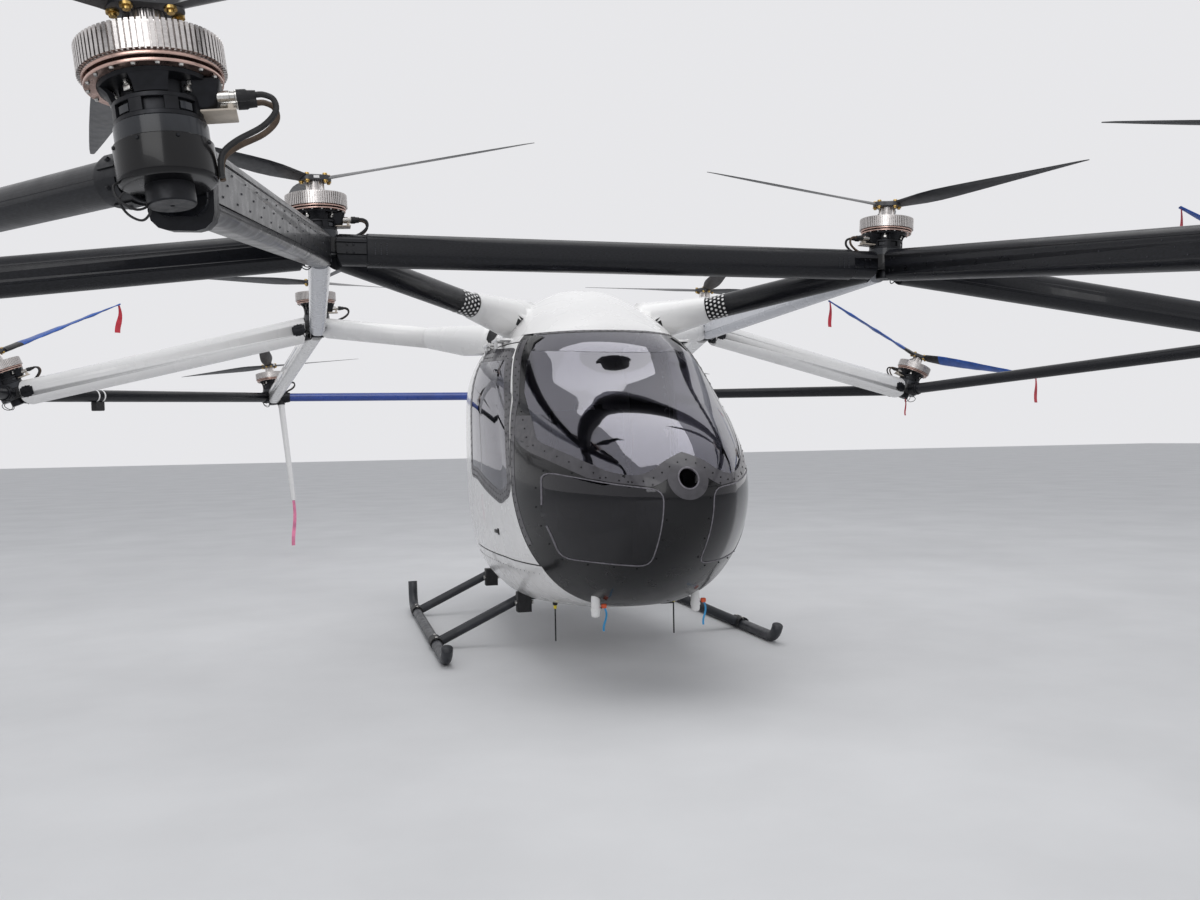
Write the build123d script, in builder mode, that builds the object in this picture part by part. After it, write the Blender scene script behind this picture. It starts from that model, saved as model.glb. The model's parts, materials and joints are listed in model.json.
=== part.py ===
from build123d import *
import math
import os

os.makedirs("parts", exist_ok=True)

# An electric flying car with twelve lifting rotors on a frame of tubes above a hollow egg-shaped cabin.
# Millimetres, nose towards -Y, +X to port, +Z up. The origin lies on the ground, on the plane of
# symmetry, in the middle of the space that the machine covers as it is parked.

# Fit between parts
seat_gap = 0.3
running_gap = 5.0

# Rotor field, one row for each pair of rotors. The aft distances count from the front inner pair.
# name, half spacing, aft distance, height, tilt outboard, lean aft, parked angle to port and to starboard
rotor_rows = [
    ("nose", 1840.0, -2850.0, 1950.0, 7.0, 4.0, 114.0, 76.0),
    ("front_inner", 1510.0, 0.0, 2310.0, 3.0, 0.0, 31.0, 69.0),
    ("front_outer", 4530.0, -65.0, 1920.0, 27.0, 0.0, 14.0, 106.0),
    ("rear_inner", 1515.0, 2805.0, 2240.0, 2.0, 0.0, 111.0, 25.0),
    ("rear_outer", 3730.0, 3305.0, 1760.0, 23.0, -4.0, 36.0, 6.0),
    ("tail", 1975.0, 6160.0, 1867.0, 6.0, 6.0, 109.0, 119.0),
]
sides = [("port", 1), ("starboard", -1)]

# Motor stack, measured along the rotor's axis from the point that its row gives
ring_top = 17.0
ring_height = 62.0
ring_radius = 143.0
fin_count = 48
fin_slot = 8.0
fin_depth = 9.0
flange_radius = 136.0
flange_neck_radius = 120.0
flange_height = 20.0
flange_plate = 7.0
shaft_radius = 25.0

# Motor adapter: a flare, a drum with pockets, and on its inboard side a box with two sockets for the leads
adapter_top_radius = 104.0
adapter_height = 40.0
drum_radius = 88.0
drum_height = 46.0
pocket_count = 8
pocket_width = 42.0
pocket_height = 26.0
pocket_depth = 8.0
lead_box_reach = 128.0
lead_box_width = 96.0
lead_box_height = 62.0
lead_box_taper = 14.0
lead_box_corner = 18.0
socket_radius = 11.0
socket_length = 30.0
socket_spacing = 44.0
socket_drop = 34.0

# Frame joint: a collar over a wider housing, and a foot with the tie-down hole
housing_collar_radius = 91.0
housing_collar_height = 38.0
housing_radius = 97.0
housing_height = 80.0
housing_fillet = 12.0
housing_foot_radius = 48.0
housing_foot_height = 40.0
tie_down_radius = 5.0
tie_down_depth = 32.0
node_drop = 235.0

# White rods that point down beside the feet of the tail joints
rod_radius = 13.0
rod_tip_radius = 7.0
rod_collar_radius = 20.0
rod_collar_length = 70.0
rod_length = 1050.0
rod_offset = 72.0

# Rotor
blade_radius = 1060.0
blade_cone = 4.2
blade_count = 3
collar_radius = 43.0
collar_height = 60.0
hub_radius = 80.0
hub_height = 26.0
# The outline of a blade's section, as shares of its chord and of its thickness
blade_section = [(-0.5, 0.0), (-0.3, 0.42), (0.05, 0.5), (0.5, 0.0), (0.1, -0.4), (-0.3, -0.36)]
# radius, chord, thickness, twist
blade_stations = [
    (62.0, 62.0, 20.0, 20.0),
    (290.0, 118.0, 13.0, 15.0),
    (680.0, 70.0, 8.0, 9.0),
    (blade_radius, 12.0, 3.0, 5.0),
]

# Frame: name, start, end, width, depth, corner radius. A beam that ends at the row where it starts
# crosses to the other side, and every other beam has a mirrored twin.
beam_rows = [
    ("beam_front_cross", "front_inner", "front_inner", 118.0, 150.0, 50.0),
    ("beam_tail_cross", "tail", "tail", 84.0, 84.0, 41.9),
    ("beams_nose", "nose", "front_inner", 120.0, 170.0, 40.0),
    ("beams_nose_outer", "nose", "front_outer", 96.0, 96.0, 47.9),
    ("beams_front_side", "front_inner", "front_outer", 125.0, 180.0, 60.0),
    ("beams_middle_side", "front_inner", "rear_inner", 110.0, 150.0, 45.0),
    ("beams_rear_side", "rear_inner", "rear_outer", 130.0, 185.0, 62.0),
    ("beams_outer_side", "front_outer", "rear_outer", 90.0, 90.0, 44.9),
    ("beams_tail", "rear_inner", "tail", 110.0, 150.0, 45.0),
    ("beams_tail_outer", "rear_outer", "tail", 96.0, 96.0, 47.9),
]

# Arms from the inner joints to the cabin roof: name, row, outer radius, sleeve end and roof end
# as half spacing, aft distance and height
arm_rows = [
    ("arms_front", "front_inner", 66.0, (691.0, 601.0, 1898.0), (360.0, 845.0, 1835.0)),
    ("arms_rear", "rear_inner", 72.0, (760.0, 2130.0, 1868.0), (360.0, 1750.0, 1800.0)),
]
sleeve_radius = 74.0
sleeve_root_radius = 128.0

# Cabin outlines seen from above: height, aft distance of the nose, half width, aft distance of the tail
widest_at = 900.0
front_roundness = 2.25
rear_roundness = 1.9
belly_z = 300.0
rim_z = 1730.0
cabin_outlines = [
    (belly_z, -43.0, 455.0, 2100.0),
    (420.0, -469.0, 565.0, 2330.0),
    (650.0, -806.0, 634.0, 2600.0),
    (950.0, -937.0, 647.0, 2800.0),
    (1250.0, -615.0, 645.0, 2880.0),
    (1500.0, -167.0, 622.0, 2860.0),
    (rim_z, 190.0, 492.0, 2680.0),
]
roof_outlines = [
    (rim_z + seat_gap, 190.0, 492.0, 2680.0),
    (1840.0, 400.0, 415.0, 2500.0),
    (1935.0, 610.0, 305.0, 2240.0),
    (1995.0, 750.0, 200.0, 1940.0),
    (2022.0, 810.0, 125.0, 1650.0),
]
wall = 28.0
pane = 8.0
pane_gap = 0.4

# Door, seen from the side: aft distance and height of its front edge, then its other limits
door_front_edge = [(-165.0, 540.0), (-7.0, 885.0), (50.0, 1144.0), (134.0, 1354.0), (372.0, 1620.0)]
door_rear = 1090.0
door_bottom = 540.0
door_top = 1688.0
door_gap = 7.0

# Door hinges, on a line above and outside the door's top edge
hinge_half = 552.0
hinge_z = 1712.0
hinge_places = [660.0, 990.0]
hinge_radius = 11.0
hinge_pin_radius = 5.0
hinge_knuckle = 60.0
hinge_knuckle_gap = 1.0
hinge_leaf = 12.0
hinge_arm = 78.0
hinge_leaf_foot_z = 1610.0

# The dark nose ends below the door on this aft distance
nose_edge = -190.0
bulkhead_at = 1740.0
bulkhead_thickness = 24.0

# Openings in the nose, seen from the front: half widths and heights
screen_outline = [(0.0, 1092.0), (92.0, 1052.0), (150.0, 1010.0), (215.0, 990.0), (303.0, 1006.0),
                  (419.0, 1080.0), (520.0, 1150.0), (512.0, 1400.0), (468.0, 1560.0), (363.0, 1760.0)]
chin_outline = [(112.0, 585.0), (112.0, 935.0), (300.0, 960.0), (520.0, 1010.0), (520.0, 800.0), (440.0, 600.0)]
chin_corner = 45.0
nose_hole_radius = 42.0
nose_hole_z = 981.0
# Window of a door, seen from the side
door_window = [(70.0, 930.0), (128.0, 1140.0), (208.0, 1330.0), (425.0, 1590.0), (1020.0, 1620.0),
               (1020.0, 1010.0), (800.0, 1000.0), (480.0, 935.0), (230.0, 890.0)]
window_corner = 30.0

# Cabin floor, seats and panel
floor_z = 392.0
floor_thickness = 20.0
seat_width = 430.0
seat_depth = 420.0
seat_height = 300.0
seat_pan_depth = 550.0
seat_pan_height = 70.0
seat_foot_width = 300.0
seat_foot_depth = 400.0
seat_shell = 20.0
cushion_height = 90.0
back_height = 620.0
back_thickness = 90.0
back_lean = 12.0
# half spacing from the plane of symmetry, aft distance of the seat's front edge
seat_places = [(0.0, 180.0), (-255.0, 1050.0), (255.0, 1050.0)]
panel_width = 360.0
panel_at = -330.0
panel_z = 860.0
panel_size = 230.0
panel_thickness = 40.0
pedestal_width = 120.0
pedestal_depth = 160.0
battery_size = (420.0, 370.0, 520.0)
battery_at = 1960.0

# Skids
track_half = 911.0
skid_radius = 30.0
skid_front = 300.0
skid_rear = 2010.0
skid_bend = 120.0
skid_front_tip_angle = 62.0
skid_front_tip_length = 12.0
skid_rear_tip_angle = 80.0
skid_rear_tip_length = 70.0
leg_radius = 27.0
leg_places = [730.0, 1870.0]
leg_knee_half = 395.0
leg_bend = 110.0
damper_size = (80.0, 70.0, 110.0)
damper_half = 420.0

# Small fittings under the nose
probe_radius = 22.0
probe_length = 80.0
probe_half = 254.0
probe_at = -290.0
antenna_radius = 4.0
antenna_length = 210.0
antenna_half = 330.0
antenna_at = 260.0


def tip_reach(row, parked, forward):
    """How far a parked rotor's tips reach along the machine, from the front inner pair."""
    lean = math.radians(row[5])
    rise = ring_top + running_gap + collar_height + hub_height / 2
    rise += (blade_radius - blade_stations[0][0]) * math.tan(math.radians(blade_cone))
    angles = [math.radians(parked + 360 / blade_count * blade) for blade in range(blade_count)]
    centre = row[2] + rise * math.sin(lean)
    reaches = [centre - blade_radius * math.cos(lean) * math.cos(angle) for angle in angles]
    return min(reaches) if forward else max(reaches)


nose_row, tail_row = rotor_rows[0], rotor_rows[-1]
front_end = min(tip_reach(nose_row, parked, True) for parked in nose_row[6:])
rear_end = max(tip_reach(tail_row, parked, False) for parked in tail_row[6:])
field_centre = (front_end + rear_end) / 2


def aft(distance):
    """Turn a distance aft of the front inner rotors into the model's own Y."""
    return distance - field_centre


def point(half, distance, height):
    return Vector(half, aft(distance), height)


def rotor_axis(row, side):
    """The way that the rotor's shaft points, from its tilt to the outboard side and its lean aft."""
    tilt, lean = math.radians(row[4]), math.radians(row[5])
    return Vector(side * math.cos(lean) * math.sin(tilt), math.sin(lean), math.cos(lean) * math.cos(tilt))


def stack_plane(row, side, along=0.0):
    """A plane square to the rotor's axis, its X towards the nose and its Y to port, at a height on the axis."""
    axis = rotor_axis(row, side)
    forward = Vector(0, -1, 0)
    centre = point(side * row[1], row[2], row[3])
    return Plane(origin=centre + axis * along, x_dir=forward - axis * forward.dot(axis), z_dir=axis)


def node_point(row, side):
    return stack_plane(row, side, -node_drop).origin


row_of = {row[0]: row for row in rotor_rows}
ring_bottom = ring_top - ring_height
flange_bottom = ring_bottom - flange_height
drum_top = flange_bottom - adapter_height
drum_bottom = drum_top - drum_height
housing_top = drum_bottom - housing_collar_height
housing_bottom = housing_top - housing_height
foot_bottom = housing_bottom - housing_foot_height


def outline_point(angle, front, half_width, rear):
    """A point of the egg-shaped plan outline, at an angle counted from port towards the tail."""
    across, along = math.cos(angle), math.sin(angle)
    ahead = along < 0
    roundness = front_roundness if ahead else rear_roundness
    reach = widest_at - front if ahead else rear - widest_at
    scale = (abs(across) ** roundness + abs(along) ** roundness) ** (-1 / roundness)
    return (half_width * scale * across, aft(widest_at + reach * scale * along))


def plan_outline(front, half_width, rear):
    """Draw the egg-shaped plan outline in the open sketch, as eight arcs through points of its curve."""
    step = math.radians(22.5)
    arcs = []
    for arc in range(8):
        first = (2 * arc - 1) * step
        points = [outline_point(first + step * k, front, half_width, rear) for k in range(3)]
        arcs.append(ThreePointArc(*points))
    make_face(arcs)


def egg(outlines, inset, lift_bottom, lower_top):
    """The cabin's form, drawn in by an inset, between a raised bottom and a lowered top."""
    with BuildPart() as body:
        last = len(outlines) - 1
        for index, (height, front, half_width, rear) in enumerate(outlines):
            level = height + (lift_bottom if index == 0 else 0) - (lower_top if index == last else 0)
            with BuildSketch(Plane.XY.offset(level)):
                plan_outline(front + inset, half_width - inset, rear - inset)
        loft()
    return body.part


def side_view(points):
    """Draw a closed outline in the open sketch, its points as aft distance and height."""
    Polygon(*[(aft(distance), height) for distance, height in points], align=None)


def front_view(points, mirrored):
    """Draw a closed outline of half widths and heights in the open sketch, to port or to starboard."""
    Polygon(*[(half * mirrored, height) for half, height in points], align=None)


# One motor, one adapter and one joint of the frame, standing on the axis of their rotor
with BuildPart() as motor_ring:
    with BuildSketch(Plane.XY.offset(ring_bottom)):
        Circle(ring_radius)
        with PolarLocations(ring_radius, fin_count):
            Rectangle(2 * fin_depth, fin_slot, mode=Mode.SUBTRACT)
    extrude(amount=ring_height)
    with BuildSketch(Plane.XY.offset(flange_bottom)):
        Circle(flange_neck_radius)
    extrude(amount=flange_height)
    for level in (flange_bottom, ring_bottom - flange_plate):
        with BuildSketch(Plane.XY.offset(level)):
            Circle(flange_radius)
        extrude(amount=flange_plate)
    with BuildSketch(Plane.XY.offset(ring_top)):
        Circle(shaft_radius)
    extrude(amount=running_gap + collar_height + hub_height)

with BuildPart() as motor_adapter:
    with BuildSketch(Plane.XY.offset(drum_bottom + seat_gap)):
        Circle(drum_radius)
    extrude(amount=drum_height - seat_gap)
    with BuildSketch(Plane.XY.offset(drum_bottom + (drum_height - pocket_height) / 2)):
        with PolarLocations(drum_radius, pocket_count):
            Rectangle(2 * pocket_depth, pocket_width)
    extrude(amount=pocket_height, mode=Mode.SUBTRACT)
    with BuildSketch(Plane.XY.offset(drum_top)):
        Circle(drum_radius)
    with BuildSketch(Plane.XY.offset(flange_bottom - seat_gap)):
        Circle(adapter_top_radius)
    loft()
    with BuildSketch(Plane.XY.offset(flange_bottom - seat_gap)):
        RectangleRounded(lead_box_width, lead_box_reach, lead_box_corner, align=(Align.CENTER, Align.MAX))
    extrude(amount=-lead_box_height, taper=lead_box_taper)
    with BuildSketch(Plane.XZ):
        with GridLocations(socket_spacing, 0, 2, 1):
            with Locations((0, flange_bottom - socket_drop)):
                Circle(socket_radius)
    extrude(amount=lead_box_reach + socket_length)

with BuildPart() as frame_joint:
    with BuildSketch(Plane.XY.offset(housing_bottom)):
        Circle(housing_radius)
    extrude(amount=housing_height)
    fillet(edges().group_by(Axis.Z)[0], radius=housing_fillet)
    with BuildSketch(Plane.XY.offset(housing_top)):
        Circle(housing_collar_radius)
    extrude(amount=housing_collar_height)
    with BuildSketch(Plane.XY.offset(foot_bottom)):
        Circle(housing_foot_radius)
    extrude(amount=housing_foot_height)
    with BuildSketch(Plane.XY.offset(foot_bottom)):
        Circle(tie_down_radius)
    extrude(amount=tie_down_depth, mode=Mode.SUBTRACT)

stack_parts = []
stack = [("motor_rings", motor_ring), ("motor_adapters", motor_adapter), ("frame_joints", frame_joint)]
for label, piece in stack:
    with BuildPart() as stack_pieces:
        for row in rotor_rows:
            for side_name, side in sides:
                with Locations(stack_plane(row, side)):
                    add(piece.part, rotation=(0, 0, 90 * (1 - side)))
    stack_pieces.part.label = label
    stack_parts.append(stack_pieces.part)

with BuildPart() as tail_rods:
    for side_name, side in sides:
        for radius, tip_radius, length in (
            (rod_radius, rod_tip_radius, rod_length),
            (rod_collar_radius, rod_collar_radius, rod_collar_length),
        ):
            with BuildSketch(stack_plane(tail_row, side, housing_bottom - seat_gap)):
                with Locations((0, -side * rod_offset)):
                    Circle(radius)
            with BuildSketch(stack_plane(tail_row, side, housing_bottom - seat_gap - length)):
                with Locations((0, -side * rod_offset)):
                    Circle(tip_radius)
            loft()
tail_rods.part.label = "tail_rods"

with BuildPart() as joint_rooms:
    for row in rotor_rows:
        for side_name, side in sides:
            with BuildSketch(stack_plane(row, side, foot_bottom - housing_radius)):
                Circle(housing_radius + seat_gap)
            extrude(amount=drum_top - foot_bottom + housing_radius)


def beam(start, end, width, depth, corner):
    """A straight beam of a rounded section between two points, added to the open part."""
    along = end - start
    across = Vector(0, 0, 1).cross(along).normalized()
    with BuildSketch(Plane(origin=start, x_dir=across, z_dir=along.normalized())) as section:
        RectangleRounded(width, depth, corner)
    extrude(section.sketch, amount=along.length)


# Each beam gives way to the ones before it where they meet at a joint
frame_parts = []
beam_rooms = []
for beam_name, start_name, end_name, width, depth, corner in beam_rows:
    if start_name == end_name:
        runs = [(node_point(row_of[start_name], -1), node_point(row_of[end_name], 1))]
    else:
        runs = [(node_point(row_of[start_name], side), node_point(row_of[end_name], side)) for _, side in sides]
    with BuildPart() as beams:
        for start, end in runs:
            beam(start, end, width, depth, corner)
        add(joint_rooms.part, mode=Mode.SUBTRACT)
        for joined, room in beam_rooms:
            if start_name in joined or end_name in joined:
                add(room, mode=Mode.SUBTRACT)
    beams.part.label = beam_name
    frame_parts.append(beams.part)
    with BuildPart() as beam_room:
        for start, end in runs:
            beam(start, end, width + 2 * seat_gap, depth + 2 * seat_gap, corner + seat_gap)
    beam_rooms.append(((start_name, end_name), beam_room.part))

for arm_name, row_name, radius, sleeve, root in arm_rows:
    with BuildPart() as arm_pair:
        for side_name, side in sides:
            start = node_point(row_of[row_name], side)
            end = point(side * sleeve[0], sleeve[1], sleeve[2])
            with BuildSketch(Plane(origin=start, z_dir=(end - start).normalized())):
                Circle(radius)
            extrude(amount=(end - start).length)
        add(joint_rooms.part, mode=Mode.SUBTRACT)
        for joined, room in beam_rooms:
            if row_name in joined:
                add(room, mode=Mode.SUBTRACT)
    arm_pair.part.label = arm_name
    frame_parts.append(arm_pair.part)

# Cabin: the outer form, the inner form and the layer of the panes
outer_form = egg(cabin_outlines, 0, 0, 0)
inner_form = egg(cabin_outlines, wall, wall, -wall)
pane_form = egg(cabin_outlines, pane, 0, -wall)
roof_form = egg(roof_outlines, 0, 0, 0)
roof_room = egg(roof_outlines, wall, -wall, wall)

with BuildPart() as cabin_shell:
    add(outer_form)
    add(inner_form, mode=Mode.SUBTRACT)

with BuildPart() as glass_layer:
    add(outer_form)
    add(pane_form, mode=Mode.SUBTRACT)

nose_region = [(-1200.0, belly_z - wall), (nose_edge, belly_z - wall), door_front_edge[0]] + door_front_edge[1:]
nose_region += [(480.0, rim_z), (-1200.0, rim_z)]
door_region = door_front_edge + [(430.0, door_top), (door_rear, door_top), (door_rear, door_bottom)]

with BuildPart() as cabin_nose:
    add(cabin_shell.part)
    with BuildSketch(Plane.YZ):
        side_view(nose_region)
    extrude(amount=1000, both=True, mode=Mode.INTERSECT)
    for mirrored in (1, -1):
        with BuildSketch(Plane.XZ.offset(-aft(300))):
            front_view(screen_outline + [(0.0, screen_outline[-1][1])], mirrored)
        extrude(amount=1600, mode=Mode.SUBTRACT)
        with BuildSketch(Plane.XZ.offset(-aft(-200))):
            front_view(chin_outline, mirrored)
            fillet(vertices(), chin_corner)
        extrude(amount=900, mode=Mode.SUBTRACT)
    with BuildSketch(Plane.XZ.offset(-aft(-700))):
        with Locations((0, nose_hole_z)):
            Circle(nose_hole_radius)
    extrude(amount=400, mode=Mode.SUBTRACT)
cabin_nose.part.label = "cabin_nose"

with BuildPart() as windshield:
    with BuildSketch(Plane.XZ.offset(-aft(300))):
        for mirrored in (1, -1):
            front_view(screen_outline + [(0.0, screen_outline[-1][1])], mirrored)
        offset(amount=-pane_gap)
    extrude(amount=1600)
    add(glass_layer.part, mode=Mode.INTERSECT)
    with BuildSketch(Plane.YZ):
        side_view(nose_region)
    extrude(amount=1000, both=True, mode=Mode.INTERSECT)
windshield.part.label = "windshield"

with BuildPart() as chin_windows:
    for mirrored in (1, -1):
        with BuildSketch(Plane.XZ.offset(-aft(-200))):
            front_view(chin_outline, mirrored)
            fillet(vertices(), chin_corner)
            offset(amount=-pane_gap)
        extrude(amount=900)
    add(glass_layer.part, mode=Mode.INTERSECT)
chin_windows.part.label = "chin_windows"

with BuildPart() as bulkhead:
    add(inner_form)
    with BuildSketch(Plane.XZ.offset(-aft(bulkhead_at + bulkhead_thickness))):
        with Locations((0, rim_z)):
            Rectangle(4 * track_half, rim_z - floor_z - floor_thickness - seat_gap, align=(Align.CENTER, Align.MAX))
    extrude(amount=bulkhead_thickness, mode=Mode.INTERSECT)

with BuildPart() as cabin_body:
    add(cabin_shell.part)
    with BuildSketch(Plane.YZ):
        side_view(nose_region)
    extrude(amount=1000, both=True, mode=Mode.SUBTRACT)
    with BuildSketch(Plane.YZ):
        side_view(door_region)
    extrude(amount=1000, both=True, mode=Mode.SUBTRACT)
    add(bulkhead.part)
    for place in hinge_places:
        for side_name, side in sides:
            for end in (-1, 1):
                middle = aft(place) + end * (hinge_knuckle + hinge_knuckle_gap)
                with BuildSketch(Plane.XZ.offset(-middle)):
                    with Locations((side * hinge_half, hinge_z)):
                        Circle(hinge_radius)
                    with Locations((side * (hinge_half - hinge_arm / 2), hinge_z)):
                        Rectangle(hinge_arm, hinge_leaf)
                extrude(amount=hinge_knuckle / 2, both=True)
            with BuildSketch(Plane.XZ.offset(-aft(place))):
                with Locations((side * hinge_half, hinge_z)):
                    Circle(hinge_pin_radius)
            extrude(amount=hinge_knuckle, both=True)
cabin_body.part.label = "cabin_body"

door_parts = []
for side_name, side in sides:
    with BuildPart() as door:
        add(cabin_shell.part)
        with BuildSketch(Plane.YZ):
            side_view(door_region)
            offset(amount=-door_gap, kind=Kind.INTERSECTION)
        extrude(amount=side * 1000, mode=Mode.INTERSECT)
        with BuildSketch(Plane.YZ):
            side_view(door_window)
            fillet(vertices(), window_corner)
        extrude(amount=side * 1000, mode=Mode.SUBTRACT)
        for place in hinge_places:
            with BuildSketch(Plane.XZ.offset(-aft(place))):
                with Locations((side * hinge_half, hinge_z)):
                    Circle(hinge_radius)
                    Rectangle(hinge_leaf, hinge_z - hinge_leaf_foot_z, align=(Align.CENTER, Align.MAX))
                    Circle(hinge_pin_radius + seat_gap, mode=Mode.SUBTRACT)
            extrude(amount=hinge_knuckle / 2, both=True)
    door.part.label = "door_" + side_name
    door_parts.append(door.part)
    with BuildPart() as door_glass:
        add(glass_layer.part)
        with BuildSketch(Plane.YZ):
            side_view(door_window)
            fillet(vertices(), window_corner)
            offset(amount=-pane_gap)
        extrude(amount=side * 1000, mode=Mode.INTERSECT)
    door_glass.part.label = "door_glass_" + side_name
    door_parts.append(door_glass.part)

with BuildPart() as cabin_roof:
    add(roof_form)
    for arm_name, row_name, radius, sleeve, root in arm_rows:
        for side_name, side in sides:
            start = point(side * root[0], root[1], root[2])
            end = point(side * sleeve[0], sleeve[1], sleeve[2])
            along = end - start
            with BuildSketch(Plane(origin=start, z_dir=along.normalized())):
                Circle(sleeve_root_radius)
            with BuildSketch(Plane(origin=end, z_dir=along.normalized())):
                Circle(sleeve_radius)
            loft()
    with BuildSketch(Plane.XY.offset(rim_z + seat_gap)):
        Rectangle(6000, 9000)
    extrude(amount=-600, mode=Mode.SUBTRACT)
    add(roof_room, mode=Mode.SUBTRACT)
    for arm_name, row_name, radius, sleeve, root in arm_rows:
        for side_name, side in sides:
            start = node_point(row_of[row_name], side)
            end = point(side * sleeve[0], sleeve[1], sleeve[2])
            with BuildSketch(Plane(origin=start, z_dir=(end - start).normalized())):
                Circle(radius + seat_gap)
            extrude(amount=(end - start).length + seat_gap, mode=Mode.SUBTRACT)
cabin_roof.part.label = "cabin_roof"


# Cabin floor, bulkhead, seats, battery and instrument panel
room_form = egg(cabin_outlines, wall + seat_gap, wall + seat_gap, -wall)
floor_top = floor_z + floor_thickness

with BuildPart() as cabin_floor:
    add(room_form)
    with BuildSketch(Plane.XY.offset(floor_z)):
        Rectangle(4 * track_half, 10 * track_half)
    extrude(amount=floor_thickness, mode=Mode.INTERSECT)
cabin_floor.part.label = "cabin_floor"

with BuildPart() as battery:
    with BuildSketch(Plane.XY.offset(floor_top + seat_gap)):
        with Locations((0, aft(battery_at))):
            RectangleRounded(battery_size[0], battery_size[1], 20)
    extrude(amount=battery_size[2])
battery.part.label = "battery"

seat_top = floor_top + seat_gap + seat_height
lean = math.radians(back_lean)
back_axis = Vector(0, math.sin(lean), math.cos(lean))
back_normal = Vector(0, math.cos(lean), -math.sin(lean))


def back_foot(half, front):
    """The middle of the back cushion's lower end, which stands on the seat pan behind the seat cushion."""
    half_thickness = back_thickness / 2
    distance = front + seat_depth + seat_gap + half_thickness * math.cos(lean)
    return point(half, distance, seat_top + seat_gap + half_thickness * math.sin(lean))


with BuildPart() as seat_frames:
    for half, front in seat_places:
        with BuildSketch(Plane.XY.offset(floor_top + seat_gap)):
            with Locations((half, aft(front + seat_pan_depth / 2))):
                RectangleRounded(seat_foot_width, seat_foot_depth, 40)
        extrude(amount=seat_height)
        with BuildSketch(Plane.XY.offset(seat_top)):
            with Locations((half, aft(front + seat_pan_depth / 2))):
                RectangleRounded(seat_width, seat_pan_depth, 40)
        extrude(amount=-seat_pan_height)
        behind = back_foot(half, front) + back_normal * (back_thickness / 2 + seat_gap + seat_shell / 2)
        shell_foot = behind - back_axis * seat_pan_height / 2
        with BuildSketch(Plane(origin=shell_foot, x_dir=(1, 0, 0), z_dir=back_axis)):
            RectangleRounded(seat_width, seat_shell, seat_shell / 3)
        extrude(amount=back_height + seat_pan_height / 2)
seat_frames.part.label = "seat_frames"

with BuildPart() as seat_cushions:
    for half, front in seat_places:
        with BuildSketch(Plane.XY.offset(seat_top + seat_gap)):
            with Locations((half, aft(front + seat_depth / 2))):
                RectangleRounded(seat_width, seat_depth, 40)
        extrude(amount=cushion_height)
        with BuildSketch(Plane(origin=back_foot(half, front), x_dir=(1, 0, 0), z_dir=back_axis)):
            RectangleRounded(seat_width, back_thickness, 35)
        extrude(amount=back_height)
seat_cushions.part.label = "seat_cushions"

with BuildPart() as instrument_panel:
    with BuildSketch(Plane.XY.offset(floor_top + seat_gap)):
        with Locations((0, aft(panel_at))):
            RectangleRounded(pedestal_width, pedestal_depth, 25)
    extrude(amount=panel_z - floor_top)
    with BuildSketch(Plane.XZ.offset(-aft(panel_at + panel_thickness / 2))):
        with Locations((0, panel_z)):
            RectangleRounded(panel_width, panel_size, 25)
    extrude(amount=panel_thickness)
instrument_panel.part.label = "instrument_panel"


# Skids: two tubes with curled tips, cross tubes under the belly and their dampers
skid_parts = {}
for piece, radius in (("skid_tubes", skid_radius), ("skid_room", skid_radius + seat_gap)):
    with BuildPart() as skid_pair:
        for side_name, side in sides:
            front_run = skid_bend * math.tan(math.radians(skid_front_tip_angle / 2))
            rear_run = skid_bend * math.tan(math.radians(skid_rear_tip_angle / 2))
            front_angle, rear_angle = math.radians(skid_front_tip_angle), math.radians(skid_rear_tip_angle)
            front_corner, rear_corner = aft(skid_front) - front_run, aft(skid_rear) + rear_run
            front_tip, rear_tip = front_run + skid_front_tip_length, rear_run + skid_rear_tip_length
            with BuildLine(Plane.YZ.offset(side * track_half)) as skid_path:
                FilletPolyline(
                    (front_corner - front_tip * math.cos(front_angle), skid_radius + front_tip * math.sin(front_angle)),
                    (front_corner, skid_radius),
                    (rear_corner, skid_radius),
                    (rear_corner + rear_tip * math.cos(rear_angle), skid_radius + rear_tip * math.sin(rear_angle)),
                    radius=skid_bend,
                )
            with BuildSketch(Plane(origin=skid_path.line @ 0, z_dir=skid_path.line % 0)):
                Circle(radius)
            sweep(path=skid_path.line)
    skid_pair.part.label = piece
    skid_parts[piece] = skid_pair.part

knee_z = belly_z - seat_gap - leg_radius
with BuildPart() as cross_tubes:
    for place in leg_places:
        with BuildLine(Plane.XZ.offset(-aft(place))) as leg_path:
            FilletPolyline(
                (-track_half, skid_radius),
                (-leg_knee_half, knee_z),
                (leg_knee_half, knee_z),
                (track_half, skid_radius),
                radius=leg_bend,
            )
        with BuildSketch(Plane(origin=leg_path.line @ 0, z_dir=leg_path.line % 0)):
            Circle(leg_radius)
        sweep(path=leg_path.line)
    add(skid_parts["skid_room"], mode=Mode.SUBTRACT)
cross_tubes.part.label = "cross_tubes"

with BuildPart() as skid_dampers:
    for place in leg_places:
        for side_name, side in sides:
            beside = aft(place) - leg_radius - seat_gap - damper_size[1] / 2
            with BuildSketch(Plane.XY.offset(belly_z - seat_gap)):
                with Locations((side * damper_half, beside)):
                    RectangleRounded(damper_size[0], damper_size[1], 8)
            extrude(amount=-damper_size[2])
skid_dampers.part.label = "skid_dampers"

# Small fittings under the nose
outer_room = egg(cabin_outlines, -seat_gap, -seat_gap, 0)
with BuildPart() as nose_probes:
    for side_name, side in sides:
        with BuildSketch(Plane.XY.offset(belly_z)):
            with Locations((side * probe_half, aft(probe_at))):
                Circle(probe_radius)
        extrude(amount=probe_length * 2)
    add(outer_room, mode=Mode.SUBTRACT)
nose_probes.part.label = "nose_probes"

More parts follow.
